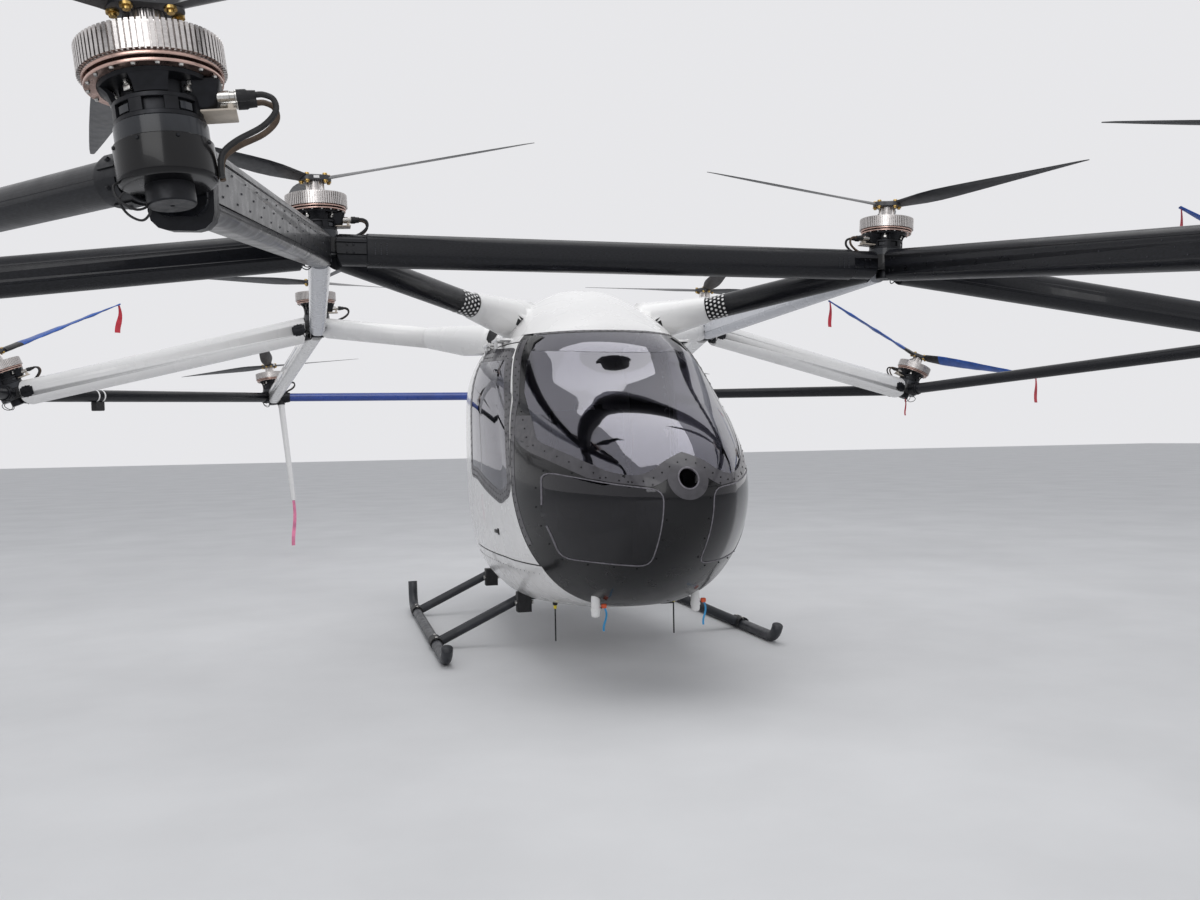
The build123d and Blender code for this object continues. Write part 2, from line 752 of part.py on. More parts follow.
with BuildPart() as antennas:
    for side_name, side in sides:
        with BuildSketch(Plane.XY.offset(belly_z - seat_gap)):
            with Locations((side * antenna_half, aft(antenna_at))):
                Circle(antenna_radius)
        extrude(amount=-antenna_length)
antennas.part.label = "antennas"

# Rotors: a hub and three twisted, tapered blades that end in a point
blade_height = collar_height + hub_height / 2
with BuildPart() as blade:
    for radius, chord, thickness, twist in blade_stations:
        lift = blade_height + (radius - blade_stations[0][0]) * math.tan(math.radians(blade_cone))
        turned = math.radians(twist)
        chordwise = (0, math.cos(turned), -math.sin(turned))
        with BuildSketch(Plane(origin=(radius, 0, lift), x_dir=chordwise, z_dir=(1, 0, 0))):
            Polygon(*[(x * chord, y * thickness) for x, y in blade_section], align=None)
    loft(ruled=True)

with BuildPart() as rotor:
    with BuildSketch():
        Circle(collar_radius)
    extrude(amount=collar_height)
    with BuildSketch(Plane.XY.offset(collar_height)):
        Circle(hub_radius)
    extrude(amount=hub_height)
    with PolarLocations(0, blade_count):
        add(blade.part)
    with BuildSketch():
        Circle(shaft_radius + seat_gap)
    extrude(amount=collar_height + hub_height, mode=Mode.SUBTRACT)

with BuildPart() as mirrored_rotor:
    add(rotor.part)
    mirror(about=Plane.XZ, mode=Mode.REPLACE)

rotor_parts = []
for row in rotor_rows:
    for side_name, side in sides:
        with BuildPart() as placed_rotor:
            with Locations(stack_plane(row, side, ring_top + running_gap)):
                turned = row[6] if side > 0 else row[7]
                add(rotor.part if side > 0 else mirrored_rotor.part, rotation=(0, 0, turned))
        placed_rotor.part.label = "rotor_" + row[0] + "_" + side_name
        rotor_parts.append(placed_rotor.part)

frame_parts += stack_parts + [tail_rods.part]
cabin_parts = [cabin_nose.part, windshield.part, chin_windows.part, cabin_body.part, cabin_roof.part]
cabin_parts += [cabin_floor.part, battery.part, seat_frames.part, seat_cushions.part, instrument_panel.part]
gear_parts = [skid_parts["skid_tubes"], cross_tubes.part, skid_dampers.part, nose_probes.part, antennas.part]
for part in frame_parts + cabin_parts + door_parts + gear_parts + rotor_parts:
    export_step(part, "parts/" + part.label + ".step")
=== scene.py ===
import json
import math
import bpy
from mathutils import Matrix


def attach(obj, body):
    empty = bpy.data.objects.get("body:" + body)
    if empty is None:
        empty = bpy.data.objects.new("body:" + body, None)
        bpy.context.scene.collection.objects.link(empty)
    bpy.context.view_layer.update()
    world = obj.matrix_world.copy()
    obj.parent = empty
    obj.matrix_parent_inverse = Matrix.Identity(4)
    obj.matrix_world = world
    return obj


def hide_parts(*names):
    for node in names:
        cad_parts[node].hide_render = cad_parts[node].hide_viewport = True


bl_info = {
    "name": "Twelve-rotor flying car",
    "version": (1, 0, 0),
    "blender": (4, 5, 0),
    "location": "View3D > Sidebar > Flying car",
    "description": "Dresses the packed flying car with its motors, rotors, cabin trim, seats and covers",
    "category": "Object",
}

import bmesh
import bpy
from bpy.props import FloatProperty, FloatVectorProperty, IntProperty, PointerProperty
from mathutils import Matrix, Vector
from mathutils.bvhtree import BVHTree
from mathutils.geometry import interpolate_bezier

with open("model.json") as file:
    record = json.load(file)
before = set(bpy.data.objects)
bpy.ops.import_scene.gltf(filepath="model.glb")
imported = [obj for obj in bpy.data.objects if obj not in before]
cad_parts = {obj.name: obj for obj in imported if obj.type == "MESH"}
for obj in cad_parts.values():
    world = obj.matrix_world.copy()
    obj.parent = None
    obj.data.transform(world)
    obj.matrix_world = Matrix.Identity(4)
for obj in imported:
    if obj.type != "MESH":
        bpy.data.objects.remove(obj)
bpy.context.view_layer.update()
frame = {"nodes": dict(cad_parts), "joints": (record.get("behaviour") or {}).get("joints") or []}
JOINTS = {joint["name"]: joint for joint in frame["joints"]}

# Each row of rotors, parked at these angles about their own axis to port and to starboard
ROWS = {
    "nose": (114, 76), "front_inner": (31, 69), "front_outer": (14, 106),
    "rear_inner": (111, 25), "rear_outer": (36, 6), "tail": (109, 119),
}
SIDES = {"port": 1, "starboard": -1}
# The machine's own Y is a distance aft of the front inner motors, less AFT_ORIGIN
DOOR_HINGE_AFT = 0.660
AFT_ORIGIN = DOOR_HINGE_AFT - JOINTS["door_port_swing"]["pos_m"][1]
# From a rotor's joint down its axis to the middle of the motor's ring, and on to the point where beams meet
STACK_DROP = 0.022
NODE_DROP = 0.257


def linear(code):
    """Turn an sRGB hex colour into the linear values that Blender's sockets hold."""
    parts = [int(code[i:i + 2], 16) / 255 for i in (0, 2, 4)]
    return [c / 12.92 if c <= 0.04045 else ((c + 0.055) / 1.055) ** 2.4 for c in parts]


# Sizes and colours that a user would change


def length(name, default, description):
    return FloatProperty(name=name, default=default, min=0.0, unit="LENGTH", description=description)


def colour(name, code, description):
    return FloatVectorProperty(
        name=name, default=linear(code), size=3, min=0.0, max=1.0, subtype="COLOR", description=description
    )


class MotorSettings(bpy.types.PropertyGroup):
    """Sizes of a motor and its adapter."""

    ring_radius: length("Ring radius", 0.143, "Outer radius of the motor's finned ring")
    fin_depth: length("Fin depth", 0.009, "How far the cooling fins stand out")
    fin_width: length("Fin width", 0.0072, "Width of one cooling fin")
    flange_radius: length("Flange radius", 0.136, "Radius of the flange under the ring")
    fin_count: IntProperty(name="Fins", default=80, min=12, description="Cooling fins round one ring")
    ring_colour: colour("Ring colour", "CDC9C7", "Colour of the bare aluminium ring")
    flange_colour: colour("Flange colour", "C9ABA0", "Colour of the flange's warm aluminium")
    lead_colour: colour("Lead colour", "4A3B2E", "Colour of the brown lead")


class RotorSettings(bpy.types.PropertyGroup):
    """Sizes of a rotor."""

    radius: length("Radius", 1.060, "Radius of the rotor to its blade tips")
    widest_chord: length("Widest chord", 0.118, "Widest chord of a blade")
    cone: FloatProperty(
        name="Cone", default=math.radians(4.2), subtype="ANGLE", description="How far the blades rise outwards"
    )
    blade_colour: colour("Blade colour", "26272B", "Colour of the satin carbon blades")


class BeamSettings(bpy.types.PropertyGroup):
    """Finishes of the frame's beams."""

    carbon_colour: colour("Carbon colour", "17181C", "Colour of the lacquered carbon beams")
    silver_colour: colour("Silver colour", "C9CBD1", "Colour of the middle side beams")
    cover_colour: colour("Cover colour", "1D3F93", "Colour of the tail cross beam")
    rivet_radius: length("Rivet radius", 0.0034, "Radius of a rivet's head")


class CabinSettings(bpy.types.PropertyGroup):
    """Finishes of the cabin."""

    shell_colour: colour("Shell colour", "ECEBEA", "Colour of the white shell, arms and beams")
    nose_colour: colour("Nose colour", "0C0C0F", "Colour of the black nose")
    tint: colour("Tint", "A3A2AD", "Tint of the acrylic panes")
    chin_tint: colour("Chin tint", "3B3A40", "Tint of the smoked chin windows")
    # Near-black painted shade on the cabin's inside walls
    lining_colour: colour("Inside shade colour", "1A1A1D", "Colour of the painted shade inside the cabin")
    border_colour: colour("Border colour", "3F3D42", "Colour of the panes' fixing borders")
    border_width: length("Border width", 0.058, "Width of the panes' fixing borders")


class SeatSettings(bpy.types.PropertyGroup):
    """Finishes of the seats."""

    leather_colour: colour("Leather colour", "4A4B52", "Colour of the seats' leather")
    belt_width: length("Belt width", 0.046, "Width of the harness webbing")


class GearSettings(bpy.types.PropertyGroup):
    """Finish of the skids."""

    tube_colour: colour("Tube colour", "26282D", "Colour of the powder-coated skid tubes")


class CoverSettings(bpy.types.PropertyGroup):
    """Fabric covers and streamers on the parked blades."""

    cover_colour: colour("Cover colour", "2458B0", "Colour of the blade covers")
    streamer_colour: colour("Streamer colour", "C4283A", "Colour of the streamers")
    ribbon_colour: colour("Ribbon colour", "F08CB0", "Colour of the long ribbons on the tail rods")
    allowance: length("Allowance", 0.012, "How far a cover stands past its blade's edges")


class StageSettings(bpy.types.PropertyGroup):
    """Floor and camera."""

    floor_colour: colour("Floor colour", "D9D9DA", "Colour of the floor")
    lens: FloatProperty(name="Lens", default=31.449, min=1.0, description="Focal length in millimetres")


def settings(group):
    return getattr(bpy.context.scene, "flying_car_" + group)


# Nodes and finishes


def add_node(tree, kind, values=None, links=None):
    """Add a node to a tree, with its properties or sockets set and its inputs linked."""
    node = tree.nodes.new(kind)
    for name, value in (values or {}).items():
        if isinstance(name, int) or name in node.inputs:
            node.inputs[name].default_value = value
        else:
            setattr(node, name, value)
    for name, source in (links or {}).items():
        tree.links.new(source, node.inputs[name])
    return node


def noise(tree, size_mm, detail, stretch=(1, 1, 1), **values):
    """Cloudy noise with patches of about that size in millimetres."""
    place = add_node(tree, "ShaderNodeTexCoord").outputs["Object"]
    turned = add_node(tree, "ShaderNodeMapping", {"Scale": stretch}, {"Vector": place}).outputs["Vector"]
    values = {"Scale": 1000.0 / size_mm, "Detail": detail, **values}
    return add_node(tree, "ShaderNodeTexNoise", values, {"Vector": turned}).outputs["Fac"]


def shades(tree, shade, dark, light, size_mm, detail=3.0, stretch=(1, 1, 1)):
    """A colour that wanders between a darker and a lighter shade of itself, given as factors."""
    patches = noise(tree, size_mm, detail, stretch, Roughness=0.55)
    ramp = add_node(tree, "ShaderNodeValToRGB", links={"Fac": patches})
    for element, position, factor in zip(ramp.color_ramp.elements, (0.35, 0.65), (dark, light)):
        element.position = position
        element.color = (*[min(1.0, c * factor) for c in shade], 1.0)
    return ramp.outputs["Color"]


def roughness(tree, low, high, size_mm):
    """A roughness that wanders between two values."""
    limits = {"From Min": 0.3, "From Max": 0.7, "To Min": low, "To Max": high}
    return add_node(tree, "ShaderNodeMapRange", limits, {"Value": noise(tree, size_mm, 4.0)}).outputs["Result"]


def bumped(tree, height, height_mm, strength):
    values = {"Strength": strength, "Distance": height_mm / 1000.0}
    return add_node(tree, "ShaderNodeBump", values, {"Height": height}).outputs["Normal"]


def ripple(tree, size_mm, height_mm, strength, stretch=(1, 1, 1)):
    """A bump of that size and height in millimetres."""
    return bumped(tree, noise(tree, size_mm, 2.0, stretch), height_mm, strength)


def pebbles(tree):
    """Leather's grain, in pebbles of about 3 mm."""
    place = add_node(tree, "ShaderNodeTexCoord").outputs["Object"]
    grain = add_node(tree, "ShaderNodeTexVoronoi", {"Scale": 300.0}, {"Vector": place})
    return bumped(tree, grain.outputs["Distance"], 0.8, 0.35)


def weave(tree):
    """A plain weave, drawn at 4 mm where the real threads are under 1 mm."""
    place = add_node(tree, "ShaderNodeTexCoord").outputs["Object"]
    threads = [
        add_node(
            tree, "ShaderNodeTexWave", {"bands_direction": way, "Scale": 80.0, "Distortion": 0.6, "Detail": 1.0},
            {"Vector": place},
        ).outputs["Fac"]
        for way in ("X", "Z")
    ]
    woven = add_node(tree, "ShaderNodeMath", {"operation": "MULTIPLY"}, {0: threads[0], 1: threads[1]})
    return bumped(tree, woven.outputs[0], 0.6, 0.3)


# Kinds of surface, each with its shader's values, then its shades (darker and lighter factor, size of the patches in
# millimetres, detail, stretch), its roughness (from, to, size) and its bump (size, height, strength, stretch)
KINDS = {
    # Filament-wound carbon tube under clear lacquer: near black, a smooth gloss over faint windings
    "lacquered carbon": (
        {"Coat Weight": 0.16, "Coat Roughness": 0.05, "IOR": 1.4, "Specular IOR Level": 0.32},
        (0.7, 1.5, 14, 2.0, (1, 1, 3.5)), (0.26, 0.4, 60), (300, 0.5, 0.12),
    ),
    # Black gelcoat, polished: deep black with a thin clear reflection
    "black gelcoat": (
        {"Coat Weight": 0.22, "Coat Roughness": 0.04, "IOR": 1.4, "Specular IOR Level": 0.35},
        (0.7, 1.4, 180), (0.16, 0.3, 120), (400, 0.4, 0.1),
    ),
    # Sprayed polyester gelcoat on a glass-fibre shell: white, glossy, with broad, faint waves and grime
    "gelcoat": (
        {"IOR": 1.5, "Coat Weight": 0.5, "Coat Roughness": 0.06},
        (0.965, 1.01, 420, 4.0), (0.22, 0.32, 160), (350, 0.5, 0.1),
    ),
    # Stretched gloss vinyl on a tube: one strong colour, long soft highlights
    "gloss film": (
        {"IOR": 1.5, "Coat Weight": 0.6, "Coat Roughness": 0.08}, (0.85, 1.1, 120), (0.25, 0.4, 50), (120, 0.4, 0.15),
    ),
    # Blown acrylic with a reflecting tint: clear, smoky, and bright where it mirrors the pale surroundings
    "acrylic": (
        {"Transmission Weight": 1.0, "Metallic": 0.22, "Roughness": 0.015, "IOR": 1.49, "Specular IOR Level": 0.9},
        None, None, None,
    ),
    # Near-black painted shade for the cabin's unlit inside walls: quite dull, faintly mottled
    "near-black inside shade": (
        {"IOR": 1.5, "Sheen Weight": 0.15, "Sheen Roughness": 0.6},
        (0.75, 1.3, 12, 5.0), (0.8, 0.95, 20), (4, 0.2, 0.4),
    ),
    # Ceramic-black print under the pane's edge, seen through the clear acrylic: satin grey with a clear gloss
    "printed border": (
        {"IOR": 1.49, "Coat Weight": 0.35, "Coat Roughness": 0.06}, (0.8, 1.15, 45, 4.0), (0.35, 0.55, 30), None,
    ),
    # Turned and milled bare aluminium: bright, slightly warm, with fine turning marks
    "machined aluminium": (
        {"Metallic": 1.0}, (0.86, 1.06, 18, 4.0, (1, 1, 6)), (0.24, 0.38, 12), (3, 0.03, 0.3, (1, 1, 12)),
    ),
    # Black anodised aluminium: dark grey-black, a dull metallic sheen, paler on worn spots
    "anodised black": (
        {"Metallic": 0.55, "IOR": 1.5}, (0.75, 1.35, 30, 5.0), (0.34, 0.5, 16), (2.5, 0.03, 0.25),
    ),
    # Cured carbon laminate with a satin top coat: dark grey with an even, soft highlight
    "satin composite": (
        {"IOR": 1.5, "Coat Weight": 0.35, "Coat Roughness": 0.22},
        (0.75, 1.3, 35, 4.0), (0.38, 0.52, 25), (6, 0.04, 0.2),
    ),
    # Black powder coat baked on steel tube: satin, with a fine orange peel and dusty patches
    "powder coat": ({"IOR": 1.5}, (0.8, 1.5, 110, 6.0), (0.35, 0.55, 40), (4, 0.08, 0.35)),
    # Zinc-plated steel screws and pins: bright, slightly uneven
    "bright steel": ({"Metallic": 1.0}, (0.8, 1.1, 9), (0.2, 0.36, 8), None),
    # Moulded rubber and cable jackets: black, dull, faintly pebbled
    "moulded rubber": ({"IOR": 1.52}, (0.8, 1.4, 22), (0.55, 0.75, 15), (2.5, 0.08, 0.4)),
    # Corrected-grain upholstery leather: soft grey, a pebbled grain, shinier on the crowns
    "leather": ({"IOR": 1.5}, (0.82, 1.15, 60, 5.0), (0.42, 0.6, 30), pebbles),
    # Plain-weave coated nylon: a soft sheen over its threads
    "woven nylon": (
        {"IOR": 1.5, "Sheen Weight": 0.35, "Sheen Roughness": 0.4}, (0.72, 1.12, 70, 4.0), (0.5, 0.7, 30), weave,
    ),
    # Matt painted concrete: pale, even, with very broad faint patches
    "floor paint": ({"IOR": 1.5}, (0.96, 1.03, 900, 4.0), (0.65, 0.85, 400), None),
}
# Finishes by name, each a kind of surface with its colour, or with the setting that holds its colour
FINISHES = {
    "Machined aluminium": ("machined aluminium", "motors.ring_colour"),
    "Warm aluminium flange": ("machined aluminium", "motors.flange_colour"),
    "Brass bushings": ("machined aluminium", "B99B5E"),
    "Brown lead": ("moulded rubber", "motors.lead_colour"),
    "Black rubber": ("moulded rubber", "18181A"),
    # Light grey for rivets and raised seals, and a painted highlight on the chin windows' edges and the nose hole's
    # rim
    "Grey window seal": ("moulded rubber", "69666C"),
    "Yellow heat shrink": ("moulded rubber", "D9C53C"),
    "Black anodised aluminium": ("anodised black", "1B1C20"),
    "Dark blind rivets": ("anodised black", "3A3B40"),
    "Black steel screws": ("anodised black", "121214"),
    "Glossy grey collar": ("black gelcoat", "2E3034"),
    "Black housing": ("black gelcoat", "0D0D0F"),
    "Black gelcoat": ("black gelcoat", "cabin.nose_colour"),
    "Zinc-plated steel": ("bright steel", "D2D0CC"),
    "Beige connector plate": ("powder coat", "B9AFA2"),
    "Black powder coat": ("powder coat", "gear.tube_colour"),
    "Grey battery case": ("powder coat", "5A5C60"),
    "Orange moulded cap": ("powder coat", "D2552E"),
    "Satin carbon laminate": ("satin composite", "rotors.blade_colour"),
    "Satin carbon shell": ("satin composite", "1E1F22"),
    "Grey floor laminate": ("satin composite", "3E4044"),
    "Lacquered carbon tube": ("lacquered carbon", "beams.carbon_colour"),
    "Black display glass": ("lacquered carbon", "08090B"),
    "White gelcoat": ("gelcoat", "cabin.shell_colour"),
    "Silver-white gelcoat": ("gelcoat", "beams.silver_colour"),
    "Blue gloss film": ("gloss film", "beams.cover_colour"),
    "Tinted acrylic": ("acrylic", "cabin.tint"),
    "Smoked acrylic": ("acrylic", "cabin.chin_tint"),
    "Printed pane border": ("printed border", "cabin.border_colour"),
    # Painted shade on the cabin's inside walls
    "Black cabin lining": ("near-black inside shade", "cabin.lining_colour"),
    "Grey leather": ("leather", "seats.leather_colour"),
    "Black harness webbing": ("woven nylon", "151619"),
    "Blue coated nylon": ("woven nylon", "covers.cover_colour"),
    "Red coated nylon": ("woven nylon", "covers.streamer_colour"),
    "Pink satin ribbon": ("woven nylon", "covers.ribbon_colour"),
    "Light blue ribbon": ("woven nylon", "3C9AD0"),
    "Floor paint": ("floor paint", "stage.floor_colour"),
}


def finish(name):
    """The material of that name, which is made when it is first asked for."""
    material = bpy.data.materials.get(name)
    if material:
        return material
    kind, source = FINISHES[name]
    group, _, field = source.partition(".")
    shade = getattr(settings(group), field) if field else linear(source)
    values, patches, rough, relief = KINDS[kind]
    material = bpy.data.materials.new(name)
    material.use_nodes = True
    tree = material.node_tree
    tree.nodes.clear()
    links = {}
    if patches:
        links["Base Color"] = shades(tree, shade, *patches)
    else:
        values = {"Base Color": (*shade, 1.0), **values}
    if rough:
        links["Roughness"] = roughness(tree, *rough)
    if relief:
        links["Normal"] = relief(tree) if callable(relief) else ripple(tree, *relief)
    shader = add_node(tree, "ShaderNodeBsdfPrincipled", values, links)
    add_node(tree, "ShaderNodeOutputMaterial", links={"Surface": shader.outputs[0]})
    return material


# Shapes


def at(x, y, z):
    """A placement moved by those distances."""
    return Matrix.Translation((x, y, z))


def spun(degrees, axis="Z"):
    """A placement turned by that angle."""
    return Matrix.Rotation(math.radians(degrees), 4, axis)


def polar(radius, degrees, height=0.0):
    """A point at that angle and distance from Z."""
    angle = math.radians(degrees)
    return Vector((radius * math.cos(angle), radius * math.sin(angle), height))


def rod(radius, low, high):
    """The profile of a plain round rod."""
    return [(0, low), (radius, low), (radius, high), (0, high)]


def hoop(inner, outer, low, high):
    """The profile of a plain hoop, which is turned as a closed one."""
    return [(inner, low), (outer, low), (outer, high), (inner, high)]


def turned_to(axis, origin, forward=Vector((0, -1, 0))):
    """A placement whose Z is that axis and whose X points as nearly as it can along forward."""
    up = axis.normalized()
    side = (forward - up * up.dot(forward)).normalized()
    place = Matrix((side, up.cross(side), up)).transposed().to_4x4()
    place.translation = origin
    return place


def linked(name, mesh):
    thing = bpy.data.objects.new(name, mesh)
    bpy.context.scene.collection.objects.link(thing)
    return thing


def merged(mesh, distance, outwards=False, inset=0.0):
    """Merge a mesh's doubles, turn its faces outwards where asked, and draw its surface in."""
    work = bmesh.new()
    work.from_mesh(mesh)
    bmesh.ops.remove_doubles(work, verts=work.verts[:], dist=distance)
    if outwards:
        bmesh.ops.recalc_face_normals(work, faces=work.faces[:])
    for vertex, move in [(v, -inset * v.normal) for v in work.verts if inset]:
        vertex.co += move
    work.to_mesh(mesh)
    work.free()


def smoothed(mesh, angle):
    mesh.polygons.foreach_set("use_smooth", [True] * len(mesh.polygons))
    mesh.set_sharp_from_angle(angle=math.radians(angle))
    mesh.update()


def plain(thing):
    """Put a piece's evaluated mesh in place of its own, and take its modifiers off."""
    bpy.context.view_layer.update()
    evaluated = thing.evaluated_get(bpy.context.evaluated_depsgraph_get())
    result = bpy.data.meshes.new_from_object(evaluated)
    thing.modifiers.clear()
    thing.data = result
    result.name = thing.name


def kept(thing, body="airframe", replaced=()):
    """Let a finished piece ride on its body and stand for its CAD nodes, which it hides."""
    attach(thing, body)
    if replaced:
        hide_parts(*replaced)
    return thing


class Shape:
    """The points and faces of one piece, gathered part by part. An index gives each part's finish."""

    def __init__(self):
        self.points, self.faces, self.finishes = [], [], []

    def add(self, points, faces, index=0, place=None):
        first = len(self.points)
        self.points += [place @ Vector(p) if place else Vector(p) for p in points]
        self.faces += [[first + i for i in face] for face in faces]
        self.finishes += [index] * len(faces)

    def loft(self, rings, index=0, place=None, closed=False):
        """Join rings of equally many points, and cap both ends or join the last ring to the first."""
        count, last = len(rings[0]), len(rings) - 1
        faces = []
        for low in range(last + 1 if closed else last):
            high = (low + 1) % len(rings)
            for i in range(count):
                j = (i + 1) % count
                faces.append([low * count + i, low * count + j, high * count + j, high * count + i])
        if not closed:
            faces += [list(range(count))[::-1], list(range(last * count, len(rings) * count))]
        self.add([point for ring in rings for point in ring], faces, index, place)

    def turn(self, profile, segments, index=0, place=None, closed=False):
        """Turn a profile of (radius, height) about Z, as a solid that ends on Z or, if closed, as a hoop."""
        self.loft([
            [polar(radius, 360 * i / segments, height) for i in range(segments)] for radius, height in profile
        ], index, place, closed)

    def arc(self, inner, outer, low, high, middle, half, index, place, steps=3):
        """A curved block between two radii and two heights, over an angle each side of its middle."""
        angles = [middle - half + 2 * half * step / steps for step in range(steps + 1)]
        corners = hoop(inner, outer, low, high)
        self.loft([[polar(radius, angle, height) for radius, height in corners] for angle in angles], index, place)

    def block(self, size, index=0, place=None, edge=0.002):
        """A block of that size about the placement's origin, with its edges rounded off."""
        mesh = bmesh.new()
        bmesh.ops.create_cube(mesh, size=1.0)
        for vertex in mesh.verts:
            vertex.co = Vector(a * b for a, b in zip(vertex.co, size))
        bmesh.ops.bevel(mesh, geom=mesh.edges[:], offset=edge, segments=2, affect="EDGES", profile=0.5)
        mesh.verts.index_update()
        self.add([v.co.copy() for v in mesh.verts], [[v.index for v in f.verts] for f in mesh.faces], index, place)
        mesh.free()

    def tube(self, path, radius, segments, index, place):
        """A round tube along a path of points."""
        path = [place @ Vector(p) for p in path]
        turns = [2 * math.pi * i / segments for i in range(segments)]
        side = (path[1] - path[0]).orthogonal().normalized()
        rings = []
        for k, point in enumerate(path):
            along = (path[min(k + 1, len(path) - 1)] - path[max(k - 1, 0)]).normalized()
            side = (side - along * side.dot(along)).normalized()
            other = along.cross(side)
            rings.append([point + (side * math.cos(turn) + other * math.sin(turn)) * radius for turn in turns])
        self.loft(rings, index)

    def piece(self, name, finishes, slot, body="airframe", replaced=(), smooth=35.0):
        """Make the piece and keep it, with its faces pointing outwards and its flats sharp."""
        mesh = bpy.data.meshes.new(name)
        mesh.from_pydata([tuple(p) for p in self.points], [], self.faces)
        for used in finishes:
            mesh.materials.append(finish(used))
        mesh.polygons.foreach_set("material_index", self.finishes)
        merged(mesh, 1e-6, outwards=True)
        smoothed(mesh, smooth)
        return kept(linked(name, mesh), body, replaced)


def ribbon(shape, path, across, widths, thickness, place=None):
    """A flat strip of cloth or webbing along a path, as wide across as the list of widths says."""
    path = [Vector(p) for p in path]
    rings = []
    for index, (point, width) in enumerate(zip(path, widths)):
        along = path[min(index + 1, len(path) - 1)] - path[max(index - 1, 0)]
        side = Vector(across)
        side = (side - along * side.dot(along) / along.length_squared).normalized()
        rise = along.normalized().cross(side) * thickness / 2
        half = side * width / 2
        rings.append([point + half + rise, point - half + rise, point - half - rise, point + half - rise])
    shape.loft(rings, 0, place)


def curved(points, steps=5):
    """Points of a smooth line through the given ones."""
    knots = [Vector(p) for p in points]
    knots = [2 * knots[0] - knots[1], *knots, 2 * knots[-1] - knots[-2]]
    line = []
    for before, a, b, after in zip(knots, knots[1:], knots[2:], knots[3:]):
        line += interpolate_bezier(a, a + (b - before) / 6, b - (after - a) / 6, b, steps + 1)[:-1]
    return line + [knots[-2]]


def rounded_ring(half_width, low, high, corner, level):
    """A level ring of points round a rectangle with rounded corners, between two places along Y."""
    ring = []
    for x, y, start in (
        (half_width, high, 0), (-half_width, high, 90), (-half_width, low, 180), (half_width, low, 270),
    ):
        middle = Vector((x - math.copysign(corner, x), y - (corner if y == high else -corner), level))
        ring += [middle + polar(corner, start + 30 * step) for step in range(4)]
    return ring


def refinished(node, look, body="airframe"):
    """A copy of a CAD node with its doubles merged, so that its curves shade smoothly."""
    mesh = frame["nodes"][node].data.copy()
    merged(mesh, 2e-5)
    mesh.name = node
    mesh.materials.clear()
    mesh.materials.append(finish(look))
    mesh.polygons.foreach_set("material_index", [0] * len(mesh.polygons))
    smoothed(mesh, 30.0)
    return kept(linked(node, mesh), body, [node])


def painted_inside_shade(thing, walls):
    """Paint near-black shade on the faces inside the cabin that look inwards at another of its walls."""
    cabin_middle, roof_foot, cabin_half, roof_half = 1.15, 1.72, 0.75, 0.43
    mesh = thing.data
    mesh.materials.append(finish("Black cabin lining"))
    for face in mesh.polygons:
        spot, way = face.center, face.normal
        widest = cabin_half if spot.z < roof_foot else roof_half
        inwards = way.x * spot.x + way.z * (spot.z - cabin_middle) < 0 and abs(spot.x) < widest
        if inwards and walls.ray_cast(spot + way * 0.001, way, 4.0)[0] is not None:
            face.material_index = len(mesh.materials) - 1


def skin(*nodes):
    """A search tree over the surfaces of CAD nodes, given by name, and of pieces."""
    points, faces = [], []
    for node in nodes:
        mesh = frame["nodes"][node].data if isinstance(node, str) else node.data
        first = len(points)
        points += [v.co.copy() for v in mesh.vertices]
        faces += [[first + i for i in p.vertices] for p in mesh.polygons]
    return BVHTree.FromPolygons(points, faces)


# Geometry Nodes


def growing_tree(name, sizes, build):
    """A tree that sets what build() makes on points, square to their facing attribute, as real geometry."""
    if name in bpy.data.node_groups:
        return bpy.data.node_groups[name]
    tree = bpy.data.node_groups.new(name, "GeometryNodeTree")
    tree.interface.new_socket("Geometry", in_out="INPUT", socket_type="NodeSocketGeometry")
    tree.interface.new_socket("Geometry", in_out="OUTPUT", socket_type="NodeSocketGeometry")
    for label, kind, default in sizes:
        tree.interface.new_socket(label, in_out="INPUT", socket_type="NodeSocket" + kind).default_value = default
    tree.interface.new_socket("Material", in_out="INPUT", socket_type="NodeSocketMaterial")
    given = add_node(tree, "NodeGroupInput").outputs
    facing = add_node(tree, "GeometryNodeInputNamedAttribute", {"data_type": "FLOAT_VECTOR", "Name": "facing"})
    turn = add_node(tree, "FunctionNodeAlignRotationToVector", {"axis": "Z"}, {"Vector": facing.outputs["Attribute"]})
    placed = add_node(tree, "GeometryNodeInstanceOnPoints", links={
        "Points": given["Geometry"], "Instance": build(tree, given), "Rotation": turn.outputs["Rotation"],
    })
    real = add_node(tree, "GeometryNodeRealizeInstances", links={"Geometry": placed.outputs[0]})
    painted = add_node(
        tree, "GeometryNodeSetMaterial", links={"Geometry": real.outputs[0], "Material": given["Material"]}
    )
    add_node(tree, "NodeGroupOutput", links={"Geometry": painted.outputs[0]})
    return tree


def round_head(tree, given):
    """A short cone that stands on the surface."""
    top = add_node(tree, "ShaderNodeMath", {"operation": "MULTIPLY", 1: 0.72}, {0: given["Head radius"]})
    return add_node(tree, "GeometryNodeMeshCone", {"fill_type": "NGON"}, {
        "Vertices": given["Sides"], "Radius Top": top.outputs[0], "Radius Bottom": given["Head radius"],
        "Depth": given["Head height"],
    }).outputs["Mesh"]


def ring_of_fins(tree, given):
    """A ring of upright fins."""
    circle = add_node(
        tree, "GeometryNodeMeshCircle", links={"Vertices": given["Fins"], "Radius": given["Ring radius"]}
    )
    fin = add_node(tree, "GeometryNodeMeshCube", links={"Size": given["Fin size"]})
    spot = add_node(tree, "GeometryNodeInputPosition")
    outwards = add_node(tree, "FunctionNodeAlignRotationToVector", {"axis": "X"}, {"Vector": spot.outputs[0]})
    return add_node(tree, "GeometryNodeInstanceOnPoints", links={
        "Points": circle.outputs[0], "Instance": fin.outputs["Mesh"], "Rotation": outwards.outputs[0],
    }).outputs[0]


